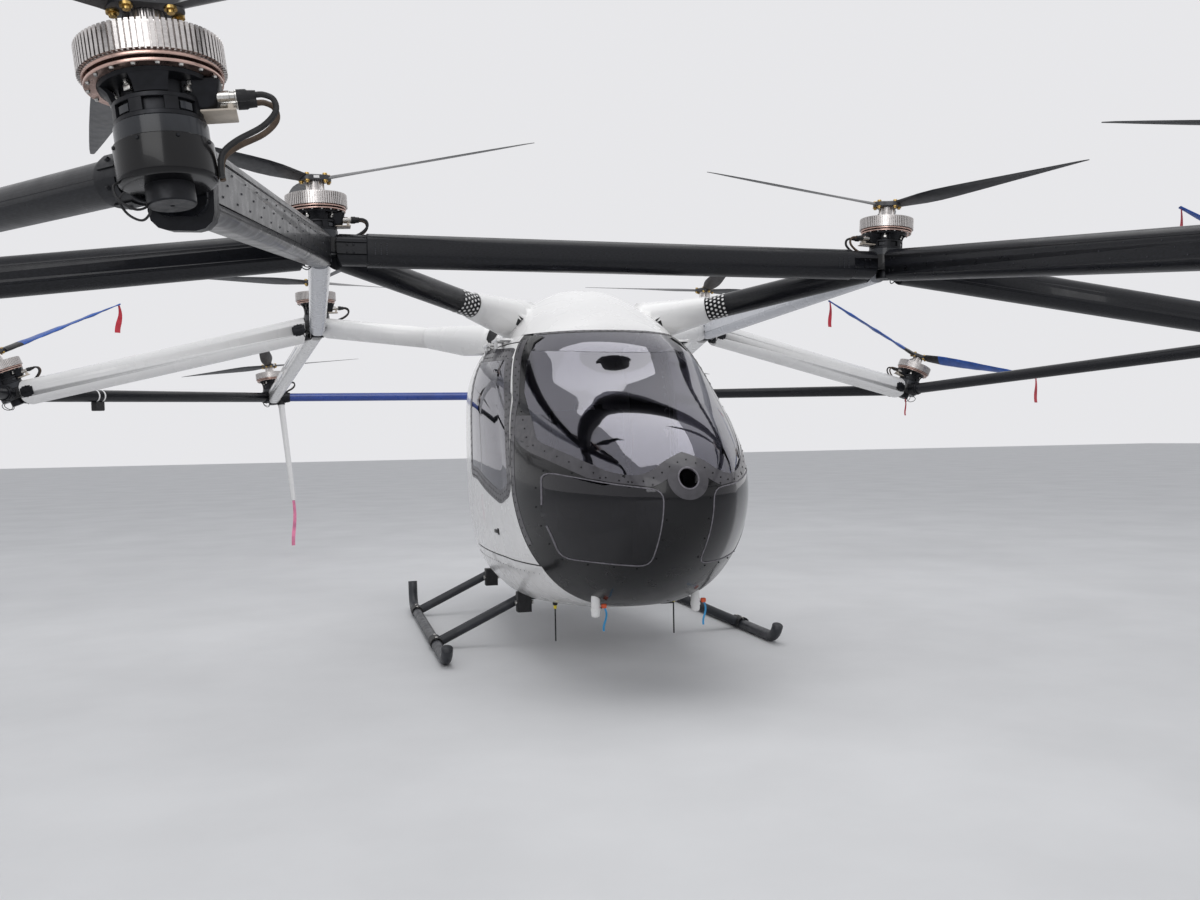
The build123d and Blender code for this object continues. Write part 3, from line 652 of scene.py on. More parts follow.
def grown(name, spots, tree, sizes, body="airframe"):
    """Grow a tree's geometry on spots, each a point and the way it faces, and keep it as a plain mesh."""
    mesh = bpy.data.meshes.new(name)
    mesh.from_pydata([tuple(point) for point, way in spots], [], [])
    facing = mesh.attributes.new("facing", "FLOAT_VECTOR", "POINT")
    facing.data.foreach_set("vector", [c for point, way in spots for c in Vector(way).normalized()])
    thing = linked(name, mesh)
    modifier = thing.modifiers.new(tree.name, "NODES")
    modifier.node_group = tree
    for socket in tree.interface.items_tree:
        if socket.in_out == "INPUT" and socket.name in sizes:
            modifier[socket.identifier] = sizes[socket.name]
    plain(thing)
    smoothed(thing.data, 35.0)
    kept(thing, body)


def fastened(name, spots, radius, height, sides, look, body="airframe"):
    """Heads of screws, rivets or bolts on spots, kept as one piece."""
    tree = growing_tree(
        "Fasteners", [("Head radius", "Float", 0.006), ("Head height", "Float", 0.004), ("Sides", "Int", 10)],
        round_head,
    )
    sizes = {"Head radius": radius, "Head height": height, "Sides": sides, "Material": finish(look)}
    grown(name, spots, tree, sizes, body)


# Places on the frame


def stack(row, side_name):
    """The placement of a motor stack: its origin in the middle of the ring, Z up its shaft, X forwards."""
    joint = JOINTS[f"rotor_{row}_{side_name}_spin"]
    axis = Vector(joint["axis"])
    return turned_to(axis, Vector(joint["pos_m"]) - axis * STACK_DROP)


STACKS = {(row, side_name): stack(row, side_name) for row in ROWS for side_name in SIDES}


def inboard(row, side_name):
    """A motor stack's placement, turned so that its -Y points to the middle of the machine."""
    return STACKS[row, side_name] @ spun(0 if side_name == "port" else 180)


def parked(row, side_name):
    """The placement of a parked rotor, which is mirrored to starboard."""
    angle = dict(zip(SIDES, ROWS[row]))[side_name]
    mirror = Matrix.Diagonal((1, SIDES[side_name], 1, 1))
    return STACKS[row, side_name] @ at(0, 0, STACK_DROP) @ spun(angle) @ mirror


def joint_point(row, side_name):
    """The point where the beams of a joint meet."""
    return STACKS[row, side_name] @ Vector((0, 0, STACK_DROP - NODE_DROP))


def beam_place(start, end):
    """A placement at the start of a beam, with X across it, Y up and Z along it, and the beam's length."""
    along = end - start
    return turned_to(along, start, Vector((0, 0, 1)).cross(along)), along.length


# Pieces

# Levels of a motor stack, from the middle of its ring
RING_TOP, RING_FOOT = 0.017, -0.045
FLANGE_FOOT = -0.0655
HOOP_FOOT = -0.073
DRUM_TOP, DRUM_FOOT = -0.1055, -0.1508
COLLAR_FOOT = -0.190
HOUSING_FOOT = -0.269
# Finishes of what is under the ring, and their indices
LOWER_STACK = ["Black anodised aluminium", "Glossy grey collar", "Black housing", "Zinc-plated steel",
               "Beige connector plate"]
BLACK, GLOSSY, HOUSING, STEEL, BEIGE = range(5)


class MakeMotors(bpy.types.Operator):
    """Twelve motors with their rings, flanges, adapters, leads and housings"""

    bl_idname = "flying_car.make_motors"
    bl_label = "Motors"

    def execute(self, context):
        sizes = settings("motors")
        rings, lower, leads = Shape(), Shape(), Shape()
        screws, housing_screws, fins = [], [], []
        up = Vector((0, 0, 1))
        for (row, side_name), place in STACKS.items():
            self.ring(rings, sizes, place)
            self.adapter(lower, place)
            self.joint(lower, place)
            self.lead_box(lower, leads, inboard(row, side_name))
            turn = place.to_3x3()
            fins.append((place @ (up * (RING_TOP + RING_FOOT) / 2), turn @ up))
            screws += [(place @ polar(sizes.flange_radius - 0.010, 20 * i + 10, FLANGE_FOOT), turn @ -up)
                       for i in range(18)]
            housing_screws += [(place @ polar(0.0972, angle, -0.197), turn @ polar(1, angle))
                               for angle in (45 * i + 22.5 for i in range(8))]
        rings.piece("motor_rings", ["Machined aluminium", "Warm aluminium flange", "Black anodised aluminium"],
                    "motor_silver", replaced=["motor_rings"])
        lower.piece("motor_adapters", LOWER_STACK, "adapter_black", replaced=["motor_adapters", "frame_joints"])
        leads.piece("motor_leads", ["Black rubber", "Brown lead"], "black_rubber")
        depth = sizes.fin_depth + 0.003
        tree = growing_tree("Cooling fins", [
            ("Fins", "Int", 80), ("Ring radius", "Float", 0.15), ("Fin size", "Vector", (0.01, 0.004, 0.08)),
        ], ring_of_fins)
        grown("motor_fins", fins, tree, {
            "Fins": sizes.fin_count, "Ring radius": sizes.ring_radius - depth / 2,
            "Fin size": (depth, sizes.fin_width, 0.058), "Material": finish("Machined aluminium"),
        })
        fastened("motor_screws", screws, 0.0048, 0.004, 8, "Zinc-plated steel")
        fastened("housing_screws", housing_screws, 0.0044, 0.003, 8, "Black anodised aluminium")
        return {"FINISHED"}

    @staticmethod
    def ring(shape, sizes, place):
        # The ring's wall, open on top over its spokes, then the shaft and the two plates of the flange
        low, top = RING_FOOT, RING_TOP
        outer, flange = sizes.ring_radius - sizes.fin_depth, sizes.flange_radius
        shape.turn([
            (0.060, low), (outer - 0.003, low), (outer, low + 0.003), (outer, top - 0.005), (outer - 0.005, top),
            (0.119, top), (0.117, top - 0.010), (0.060, top - 0.014),
        ], 64, 0, place, closed=True)
        shape.turn([(0, low), (0.062, low), (0.062, top - 0.010), (0.026, top - 0.002), (0.0248, top + 0.091),
                    (0, top + 0.091)], 40, 0, place)
        for i in range(12):
            shape.block((0.060, 0.013, 0.010), 0, place @ spun(30 * i) @ at(0.089, 0, top - 0.009))
        for level, radius in ((low - 0.0005, flange), (low - 0.0130, flange - 0.003)):
            shape.turn([
                (0.060, level - 0.007), (radius - 0.0015, level - 0.007), (radius, level - 0.0055),
                (radius, level - 0.0015), (radius - 0.0015, level), (0.060, level),
            ], 72, 1, place, closed=True)
        shape.turn(hoop(0.060, 0.121, low - 0.0130, low - 0.0075), 48, 2, place, closed=True)

    @staticmethod
    def adapter(shape, place):
        # A hoop, four flared posts and the bright fittings behind them, over a drum with pockets
        shape.turn([(0.058, FLANGE_FOOT), (0.110, FLANGE_FOOT), (0.107, HOOP_FOOT), (0.058, HOOP_FOOT)],
                   48, BLACK, place, closed=True)
        shape.turn([(0, -0.106), (0.066, -0.106), (0.070, HOOP_FOOT), (0, HOOP_FOOT)], 32, BLACK, place)
        shape.turn(rod(0.079, DRUM_FOOT, DRUM_TOP), 40, BLACK, place)
        for low, high in ((DRUM_FOOT, -0.1410), (-0.1150, DRUM_TOP)):
            shape.turn([(0.078, low), (0.087, low), (0.088, low + 0.001), (0.088, high - 0.001), (0.087, high),
                        (0.078, high)], 64, BLACK, place, closed=True)
        for i in range(8):
            shape.arc(0.078, 0.088, -0.1412, -0.1148, 45 * i + 22.5, 8.7, BLACK, place)
            if i % 2:
                shape.arc(0.078, 0.0835, -0.1355, -0.1205, 45 * i, 9.5, GLOSSY, place)
            spot = place @ spun(45 * i + 11) @ at(0.078, 0, -0.088)
            shape.block((0.010, 0.016, 0.014), STEEL, spot)
            shape.turn(rod(0.005, 0, 0.008), 8, STEEL, spot @ at(0.004, 0, 0.006))
            if i < 4:
                angles = [90 * i - 21 + 7 * k for k in range(7)]
                shape.loft([
                    [polar(radius, angle, height) for angle in angles]
                    + [polar(radius - 0.012, angle, height) for angle in angles[::-1]]
                    for height, radius in ((-0.104, 0.0875), (-0.085, 0.094), (HOOP_FOOT, 0.106))
                ], BLACK, place)

    @staticmethod
    def joint(shape, place):
        # A glossy collar over the black housing, and its foot with the tie-down hole
        shape.turn([(0, -0.1513), (0.0895, -0.1513), (0.091, -0.153), (0.091, COLLAR_FOOT), (0, COLLAR_FOOT)],
                   64, GLOSSY, place)
        shape.turn([
            (0, -0.189), (0.0955, -0.189), (0.097, -0.1905), (0.097, -0.257), (0.0955, -0.263), (0.091, -0.2675),
            (0.085, HOUSING_FOOT), (0, HOUSING_FOOT),
        ], 64, HOUSING, place)
        shape.turn([(0.005, -0.309), (0.045, -0.309), (0.048, -0.306), (0.048, -0.268), (0.005, -0.268)],
                   40, BLACK, place, closed=True)

    @staticmethod
    def lead_box(shape, leads, place):
        # The box and its sockets on the inboard side, the plate under it, two leads down to the housing, and
        # the wires that are tied under the housing
        for sign, reach in ((1, 0.104), (-1, 0.099)):
            leads.tube(curved([
                (0.030 * sign, 0.087, -0.262), (0.044 * sign, reach, -0.276), (0.050 * sign, 0.092, -0.304),
                (0.040 * sign, 0.066, -0.322), (0.022 * sign, 0.047, -0.314), (0.010 * sign, 0.044, -0.298),
            ]), 0.0026, 8, 0, place)
        shape.loft([
            rounded_ring(0.048 - inset, inset - 0.128, -0.040, 0.016, level)
            for level, inset in ((-0.0657, 0.003), (-0.0700, 0.0005), (-0.1180, 0.0125), (-0.1270, 0.020))
        ], BLACK, place)
        shape.block((0.074, 0.070, 0.005), BEIGE, place @ at(0, -0.116, -0.1310))
        shape.block((0.050, 0.012, 0.016), BEIGE, place @ at(0, -0.140, -0.1220), 0.003)
        for x, index in ((-0.022, 0), (0.022, 1)):
            outwards = place @ at(x, -0.110, -0.099) @ spun(90, "X")
            shape.turn([(0, 0), (0.0110, 0), (0.0110, 0.030), (0.0095, 0.031), (0.0095, 0.040), (0.0110, 0.041),
                        (0.0110, 0.047), (0, 0.048)], 20, STEEL, outwards)
            leads.turn([(0, 0.044), (0.0125, 0.044), (0.0125, 0.062), (0.0100, 0.066), (0.0090, 0.082), (0, 0.083)],
                       20, 0, outwards)
            leads.tube(curved([
                (x, -0.190, -0.099), (x, -0.208, -0.100), (x * 1.1, -0.226, -0.112), (x * 1.1, -0.226, -0.138),
                (x, -0.196, -0.166), (x * 0.8, -0.142, -0.190), (x * 0.6, -0.112, -0.212), (x * 0.5, -0.1035, -0.240),
                (x * 0.5, -0.103, -0.262),
            ]), 0.0062, 10, index, place)


BLADE_OUTLINE = [
    (-0.5, 0.0), (-0.475, 0.2), (-0.4, 0.34), (-0.22, 0.47), (0.0, 0.5), (0.2, 0.38), (0.38, 0.18), (0.5, 0.02),
    (0.5, -0.02), (0.3, -0.2), (0.1, -0.34), (-0.1, -0.4), (-0.32, -0.37), (-0.46, -0.2),
]
# Share of the radius, share of the widest chord, thickness, twist in degrees
BLADE_STATIONS = [
    (0.040, 0.50, 0.020, 22.0), (0.080, 0.56, 0.018, 20.5), (0.130, 0.70, 0.016, 19.0), (0.200, 0.90, 0.0145, 17.5),
    (0.275, 1.00, 0.013, 16.0), (0.360, 0.98, 0.0118, 14.4), (0.480, 0.88, 0.0103, 12.2), (0.620, 0.715, 0.0084, 9.9),
    (0.760, 0.52, 0.0066, 8.1), (0.880, 0.33, 0.0050, 6.6), (0.960, 0.19, 0.0038, 5.6), (1.000, 0.095, 0.0028, 5.0),
]
# A blade leaves its hub at this height over the rotor's joint and this far from its axis
BLADE_HEIGHT, BLADE_ROOT = 0.073, 0.062


def blade_section(sizes, share, twist, outline, drop=0.0, beyond=0.0):
    """An outline of (along the chord, up) set across a blade, turned by its twist."""
    reach = share * sizes.radius
    lift = BLADE_HEIGHT + (reach - BLADE_ROOT) * math.tan(sizes.cone) - drop
    c, s = math.cos(math.radians(twist)), math.sin(math.radians(twist))
    return [(reach + beyond, x * c + y * s, lift - x * s + y * c) for x, y in outline]


class MakeRotors(bpy.types.Operator):
    """Twelve rotors, each a hub plate on a slotted collar with three twisted blades"""

    bl_idname = "flying_car.make_rotors"
    bl_label = "Rotors"

    def execute(self, context):
        for row, side_name in STACKS:
            rotor, place = self.rotor(settings("rotors")), parked(row, side_name)
            rotor.points = [place @ p for p in rotor.points]
            name = f"rotor_{row}_{side_name}"
            looks = ["Satin carbon laminate", "Machined aluminium", "Brass bushings", "White gelcoat"]
            rotor.piece(name, looks, "rotor_black", name, [name])
        return {"FINISHED"}

    @staticmethod
    def rotor(sizes):
        shape = Shape()
        # The slotted collar, and on it a hub plate with three lobes, both with their edges eased
        shape.loft([
            [polar((0.0428 if i % 4 < 2 else 0.0395) - inset, 3.75 * i, height) for i in range(96)]
            for height, inset in ((0.0005, 0.002), (0.002, 0.0), (0.058, 0.0), (0.060, 0.002))
        ], 1)
        shape.loft([
            [polar(0.070 + 0.010 * math.cos(math.radians(15 * i)) - inset, 5 * i, height) for i in range(72)]
            for height, inset in ((0.0595, 0.004), (0.062, 0.0), (0.082, 0.0), (0.086, 0.005))
        ])
        shape.turn([(0, 0.086), (0.030, 0.086), (0.028, 0.092), (0, 0.092)], 32, 1)
        for blade in range(3):
            turn = spun(120 * blade)
            shape.loft([
                blade_section(sizes, share, twist, [(x * chord * sizes.widest_chord, y * thickness)
                                                    for x, y in BLADE_OUTLINE], 0.001 if share == 1.0 else 0.0)
                for share, chord, thickness, twist in BLADE_STATIONS
            ], 0, turn)
            for offset in (-0.021, 0.021):
                shape.turn([(0, 0), (0.011, 0), (0.011, 0.008), (0.009, 0.010), (0, 0.010)],
                           20, 2, turn @ at(0.060, offset, 0.084))
                shape.turn([(0, 0), (0.008, 0), (0.008, 0.007), (0.013, 0.007), (0.013, 0.013), (0, 0.013)],
                           12, 2, turn @ at(0.060, offset, 0.048))
        shape.block((0.002, 0.026, 0.012), 3, spun(60) @ at(0.0605, 0, BLADE_HEIGHT), 0.0006)
        return shape


# Beam node, start row, end row, width, depth, corner radius, look
BEAMS = [
    ("beam_front_cross", "front_inner", "front_inner", 0.118, 0.150, 0.050, "carbon"),
    ("beam_tail_cross", "tail", "tail", 0.084, 0.084, 0.0419, "cover"),
    ("beams_nose", "nose", "front_inner", 0.120, 0.170, 0.040, "carbon"),
    ("beams_nose_outer", "nose", "front_outer", 0.096, 0.096, 0.0479, "carbon"),
    ("beams_front_side", "front_inner", "front_outer", 0.125, 0.180, 0.060, "carbon"),
    ("beams_middle_side", "front_inner", "rear_inner", 0.110, 0.150, 0.045, "silver"),
    ("beams_rear_side", "rear_inner", "rear_outer", 0.130, 0.185, 0.062, "white"),
    ("beams_outer_side", "front_outer", "rear_outer", 0.090, 0.090, 0.0449, "carbon"),
    ("beams_tail", "rear_inner", "tail", 0.110, 0.150, 0.045, "white"),
    ("beams_tail_outer", "rear_outer", "tail", 0.096, 0.096, 0.0479, "carbon"),
]
# Arm node, row it starts from, its end in the roof's sleeve (half width, distance aft, height), look
ARMS = [
    ("arms_front", "front_inner", (0.691, 0.601, 1.898), "carbon"),
    ("arms_rear", "rear_inner", (0.760, 2.130, 1.868), "white"),
]
FRONT_ARM_RADIUS = 0.066
LOOKS = {
    "carbon": "Lacquered carbon tube", "white": "White gelcoat", "silver": "Silver-white gelcoat",
    "cover": "Blue gloss film",
}


def beam_runs(start_row, end_row):
    """The two beams of a pair, or the one that crosses."""
    if start_row == end_row:
        return [(joint_point(start_row, "starboard"), joint_point(end_row, "port"))]
    return [(joint_point(start_row, name), joint_point(end_row, name)) for name in SIDES]


class MakeBeams(bpy.types.Operator):
    """The frame's beams and arms, with their sleeves, collars, strips, rivets and bolts"""

    bl_idname = "flying_car.make_beams"
    bl_label = "Beams"

    def execute(self, context):
        fittings, bolts, rivets, dots = Shape(), [], [], []
        for node, start_row, end_row, width, depth, corner, look in BEAMS:
            refinished(node, LOOKS[look])
            for start, end in beam_runs(start_row, end_row):
                place, reach = beam_place(start, end)
                is_round = corner > 0.44 * width
                if is_round:
                    for along in (0.122, reach - 0.122):
                        self.collar(fittings, bolts, place @ at(0, 0, along), width / 2)
                    continue
                flat = depth / 2 - corner
                for along in (0.125, 0.155, reach - 0.155, reach - 0.125):
                    bolts += self.row(place, width / 2, along, (-0.7 * flat, 0.7 * flat))
                if node == "beams_nose":
                    self.sleeve(fittings, place, width, depth, corner, (
                        (0.100, -0.004), (0.103, 0.008), (0.158, 0.008), (0.163, 0.0005)), 1, 0.020)
                    for k in range(int((reach - 0.5) / 0.06)):
                        rivets += self.row(place, width / 2, 0.25 + 0.06 * k, ((-0.6, 0.1, 0.75)[k % 3] * flat,))
                elif node == "beam_front_cross":
                    self.sleeve(fittings, place, width, depth, corner, (
                        (0.215, 0.0005), (0.219, 0.005), (reach - 0.219, 0.005), (reach - 0.215, 0.0005)), 0)
                    heights = [flat * k / 3 for k in range(-3, 4)]
                    for along in (0.255, 0.282, 0.309):
                        for spot in (along, reach - along):
                            rivets += self.row(place, width / 2 + 0.005, spot, heights)
                elif look == "white":
                    for low, high, height in ((0.17, 0.42, -0.012), (0.50, 0.76, 0.010)):
                        for side in (-1, 1):
                            middle = at(side * width / 2, height, reach * (1 - (low + high) / 2))
                            fittings.block((0.005, 0.012, reach * (high - low)), 2, place @ middle, 0.0015)
        for node, row, (half, aft, height), look in ARMS:
            refinished(node, LOOKS[look])
            if look == "carbon":
                for side_name, side in SIDES.items():
                    sleeve_mouth = Vector((side * half, aft - AFT_ORIGIN, height))
                    dots += self.dot_rows(*beam_place(joint_point(row, side_name), sleeve_mouth))
        fittings.piece("beam_fittings", [LOOKS["carbon"], "Black anodised aluminium", LOOKS["silver"]], "joint_black")
        fastened("beam_bolts", bolts, 0.0062, 0.0045, 6, "Black anodised aluminium")
        fastened("beam_rivets", rivets, settings("beams").rivet_radius, 0.0022, 8, "Dark blind rivets")
        fastened("arm_dots", dots, 0.0074, 0.0016, 12, "White gelcoat")
        return {"FINISHED"}

    @staticmethod
    def row(place, half, along, heights):
        """Spots on both upright sides of a beam, at one place along it."""
        turn = place.to_3x3()
        return [
            (place @ Vector((side * (half + 0.0004), height, along)), turn @ Vector((side, 0, 0)))
            for side in (-1, 1) for height in heights
        ]

    @staticmethod
    def dot_rows(place, reach):
        """Five staggered rows of spots round an arm, just above the sleeve that it ends in."""
        spots = []
        for k in range(5):
            for i in range(16):
                angle = 22.5 * (i + k % 2 / 2)
                spot = polar(FRONT_ARM_RADIUS + 0.0006, angle, reach - 0.014 - 0.024 * k)
                spots.append((place @ spot, place.to_3x3() @ polar(1, angle)))
        return spots

    @staticmethod
    def sleeve(shape, place, width, depth, corner, stations, index, drop=0.0):
        """A sleeve round a box beam: at each station along it, how far it stands out."""
        shape.loft([
            rounded_ring(width / 2 + out, -depth / 2 - out - (drop if out > 0.001 else 0.0), depth / 2 + out,
                         corner, along)
            for along, out in stations
        ], index, place)

    @staticmethod
    def collar(shape, bolts, place, radius):
        """A collar round a tube's end, with six raised pads and a bolt on each."""
        half_length, bore, out = 0.046, radius - 0.002, radius + 0.007
        shape.turn([
            (bore, -half_length), (out - 0.002, -half_length), (out, 0.002 - half_length),
            (out, half_length - 0.002), (out - 0.002, half_length), (bore, half_length),
        ], 48, 1, place, closed=True)
        for angle in range(30, 390, 60):
            shape.arc(radius, out + 0.004, -0.030, 0.030, angle, 19, 1, place, 4)
            bolts.append((place @ polar(out + 0.0045, angle), place.to_3x3() @ polar(1, angle)))


# Cabin outlines: points of the nose seen from the front, and of a door's window seen from the side
SCREEN = [(0.0, 1.092), (0.092, 1.052), (0.150, 1.010), (0.215, 0.990), (0.303, 1.006), (0.419, 1.080),
          (0.520, 1.150), (0.512, 1.400), (0.468, 1.560), (0.381, 1.726)]
CHIN = [(0.112, 0.585), (0.112, 0.935), (0.300, 0.960), (0.520, 1.010), (0.520, 0.800), (0.440, 0.600)]
NOSE_HOLE_HEIGHT, NOSE_HOLE_RADIUS = 0.981, 0.042
RIM_HEIGHT = 1.729
# The seam between the nose and a door, as distance aft and height
SEAM = [(-0.120, 0.640), (-0.007, 0.885), (0.050, 1.144), (0.134, 1.354), (0.372, 1.620), (0.440, 1.690)]
DOOR_WINDOW = [(0.070, 0.930), (0.128, 1.140), (0.208, 1.330), (0.425, 1.590), (1.020, 1.620), (1.020, 1.010),
               (0.800, 1.000), (0.480, 0.935), (0.230, 0.890)]


def side_points(points):
    """Points given as distance aft and height, in the machine's own Y and Z."""
    return [(aft - AFT_ORIGIN, height) for aft, height in points]


def neighbours(loop):
    """The pairs of neighbours round a closed outline."""
    return zip(loop, loop[1:] + loop[:1])


def eased(points, radius, step=0.02):
    """A closed outline with its corners rounded, in short steps."""
    corners = [Vector(p) for p in points]
    loop = []
    for before, corner, after in zip(corners[-1:] + corners, corners, corners[1:] + corners[:1]):
        back, ahead = before - corner, after - corner
        reach = min(radius, 0.45 * back.length, 0.45 * ahead.length)
        first, last = corner + back.normalized() * reach, corner + ahead.normalized() * reach
        loop += [first.lerp(corner, t).lerp(corner.lerp(last, t), t) for t in (0.0, 0.25, 0.5, 0.75, 1.0)]
    dense = []
    for point, following in neighbours(loop):
        parts = max(1, round((following - point).length / step))
        dense += [point.lerp(following, k / parts) for k in range(parts)]
    return dense


def drawn_in(loop, width):
    """The outline drawn in by a width, point by point."""
    area = sum(a.x * b.y - b.x * a.y for a, b in neighbours(loop))
    width = math.copysign(width, area * width)
    alongs = [(after - before).normalized() for before, after in zip(loop[-1:] + loop, loop[1:] + loop[:1])]
    return [point + Vector((-along.y, along.x)) * width for point, along in zip(loop, alongs)]


def on_skin(tree, flat, view):
    """Points of a drawing set on the skin, each with the way it faces, or None. The view is front, or a side."""
    spots = []
    for point in flat:
        spots.append(None)
        if point is None:
            continue
        if view == "front":
            origin, way = Vector((point[0], -6.0, point[1])), Vector((0, 1, 0))
        else:
            origin, way = Vector((view * 3.0, *point)), Vector((-view, 0, 0))
        hit, normal = tree.ray_cast(origin, way)[:2]
        if hit is not None:
            spots[-1] = (hit, -normal if normal.dot(way) > 0 else normal)
    return spots


def found(tree, flat, view):
    """The points of a drawing that meet the skin."""
    return [spot for spot in on_skin(tree, flat, view) if spot]


def border(shape, tree, outer, inner, view, rise, index=0, closed=True):
    """A band on the skin between two outlines of equally many points, that rises a little from it."""
    rings = []
    for out, into in zip(on_skin(tree, outer, view), on_skin(tree, inner, view)):
        if out is None or into is None:
            rings.append(None)
            continue
        middle = (out[0] + into[0]) / 2
        middle = tree.find_nearest(middle)[0] or middle
        lift = (out[1] + into[1]).normalized() * rise
        rings.append([out[0] - lift, out[0] + lift, middle + lift, into[0] + lift, into[0] - lift, middle - lift])
    starts, points, faces = {}, [], []
    for k, ring in enumerate(rings):
        if ring:
            starts[k] = len(points)
            points += ring
    for k in range(len(outer) if closed else len(outer) - 1):
        a, b = starts.get(k), starts.get((k + 1) % len(outer))
        if a is not None and b is not None:
            faces += [[a + i, b + i, b + (i + 1) % 6, a + (i + 1) % 6] for i in range(6)]
    shape.add(points, faces, index)


def spaced(loop, pitch):
    """Points on a closed outline at an even pitch."""
    total = sum((b - a).length for a, b in neighbours(loop))
    count = max(3, round(total / pitch))
    picked, travelled = [], 0.0
    for a, b in neighbours(loop):
        run = (b - a).length
        while len(picked) < count and total * len(picked) / count <= travelled + run:
            picked.append(a.lerp(b, (total * len(picked) / count - travelled) / run if run else 0.0))
        travelled += run
    return picked


class MakeCabin(bpy.types.Operator):
    """The cabin's shells and panes, with fixing borders, screws, painted inside shade and latches"""

    bl_idname = "flying_car.make_cabin"
    bl_label = "Cabin"

    def execute(self, context):
        walls = skin("cabin_nose", "cabin_body", "cabin_roof", "windshield", "chin_windows", "door_port",
                     "door_starboard", "door_glass_port", "door_glass_starboard")
        for node, look, slot in (("cabin_body", "White gelcoat", "cabin_white"),
                                 ("cabin_roof", "White gelcoat", "cabin_white"),
                                 ("cabin_nose", "Black gelcoat", "cabin_black")):
            # Each shell's inside faces get the near-black painted shade
            painted_inside_shade(refinished(node, look), walls)
        refinished("windshield", "Tinted acrylic")
        refinished("chin_windows", "Smoked acrylic")
        self.nose_borders(settings("cabin").border_width)
        body, belly = skin("cabin_body"), side_points([(-0.10 + 0.05 * k, 0.497) for k in range(26)])
        rivets = found(body, belly, 1) + found(body, belly, -1)
        fastened("body_rivets", rivets, 0.0034, 0.0016, 8, "Grey window seal")
        for side_name, side in SIDES.items():
            self.door(side_name, side, walls)
        return {"FINISHED"}

    @staticmethod
    def crown():
        """The top of the windshield, a strip of the same pane from its upper edge to the rim of the roof."""
        pane, roof = skin("windshield"), skin("cabin_roof")
        shape, rings, steps = Shape(), [], 8
        half_top, half_foot, top, foot = 0.384, 0.432, 1.742, 1.632
        for share in (k / 22 for k in range(-22, 23)):
            upper = on_skin(roof, [(half_top * share, top)], "front")[0][0] - Vector((0, 0, 0.004))
            lower, facing = found(pane, [(half_foot * share, foot - 0.002 * i) for i in range(40)], "front")[0]
            height = (upper.z - lower.z) / 2
            knee = lower.lerp(upper, 0.5)
            knee.y, knee.z = lower.y - facing.z / facing.y * height, lower.z + height
            outside, inside = [], []
            for t in (i / steps for i in range(steps + 1)):
                point = lower.lerp(knee, t).lerp(knee.lerp(upper, t), t)
                along = knee.lerp(upper, t) - lower.lerp(knee, t)
                out = Vector((0, -along.z, along.y)).normalized()
                outside.append(point + out * 0.0012)
                inside.append(point - out * 0.0035)
            rings.append(outside + inside[::-1])
        shape.loft(rings)
        return shape.piece("windshield_crown", ["Tinted acrylic"], "tinted_glass", smooth=60.0)

    def nose_borders(self, width):
        nose = skin("cabin_nose", "windshield", "chin_windows", self.crown())
        bands, spots = Shape(), []
        loop = eased([(-a, b) for a, b in SCREEN[:0:-1]] + SCREEN, 0.03)
        band_top, screw_top = 1.69, 1.68

        def below_rim(points):
            return [point if on.y < band_top else None for point, on in zip(points, loop)]

        outer = drawn_in(loop, -width)
        for point in outer:
            # The band stays clear of the chin windows' upper edges
            x = abs(point.x)
            if 0.10 < x < 0.53:
                point.y = max(point.y, 0.941 + 0.133 * (x - 0.112) if x < 0.3 else 0.966 + 0.227 * (x - 0.3))
        border(bands, nose, below_rim(outer), below_rim(drawn_in(loop, 0.003)), "front", 0.0012)
        middle = spaced(drawn_in(loop, -0.45 * width), 0.043)
        spots += found(nose, [point for point in middle if point.y < screw_top], "front")
        rim = [0.02 * k for k in range(-19, 20)]
        border(bands, nose, [(x, RIM_HEIGHT - 0.0015) for x in rim], [(x, RIM_HEIGHT - 0.012) for x in rim],
               "front", 0.0016, closed=False)
        spots += found(nose, [(2 * x, RIM_HEIGHT - 0.006) for x in rim[10:29]], "front")
        for side in SIDES.values():
            chin = eased([(a * side, b) for a, b in CHIN], 0.05)
            # The light strip along each chin window's edge is a raised seal whose colour is a painted highlight of
            # the pane's edge
            border(bands, nose, drawn_in(chin, -0.001), drawn_in(chin, 0.004), "front", 0.0022, 1)
            spots += found(nose, spaced(drawn_in(chin, -0.016), 0.09), "front")
            seam = [Vector(p) for p in side_points(SEAM)]
            seam = [a.lerp(b, k / 12) for a, b in zip(seam, seam[1:]) for k in range(12)]
            border(bands, nose, [point - Vector((0.006, 0)) for point in seam],
                   [point - Vector((0.052, -0.012)) for point in seam], side, 0.0014, closed=False)
            spots += found(nose, [point - Vector((0.022, -0.005)) for point in seam[::2]], side)
        ring = [Vector((0, NOSE_HOLE_HEIGHT)) + polar(NOSE_HOLE_RADIUS, 7.5 * i).xy for i in range(48)]
        border(bands, nose, drawn_in(ring, -0.050), drawn_in(ring, -0.004), "front", 0.0018)
        # The thin light ring round the nose's hole is a painted highlight on its raised rim
        border(bands, nose, drawn_in(ring, -0.006), ring, "front", 0.0034, 1)
        bands.piece("pane_borders", ["Printed pane border", "Grey window seal"], "cabin_black")
        fastened("pane_screws", spots, 0.0046, 0.0036, 8, "Black steel screws")

    @staticmethod
    def door(side_name, side, walls):
        body, glass = f"door_{side_name}", f"door_glass_{side_name}"
        # The door's inside faces get the near-black painted shade
        painted_inside_shade(refinished(body, "White gelcoat", body), walls)
        refinished(glass, "Tinted acrylic", body)
        door = skin(body, glass)
        loop = eased(side_points(DOOR_WINDOW), 0.03)
        band, screws = Shape(), []
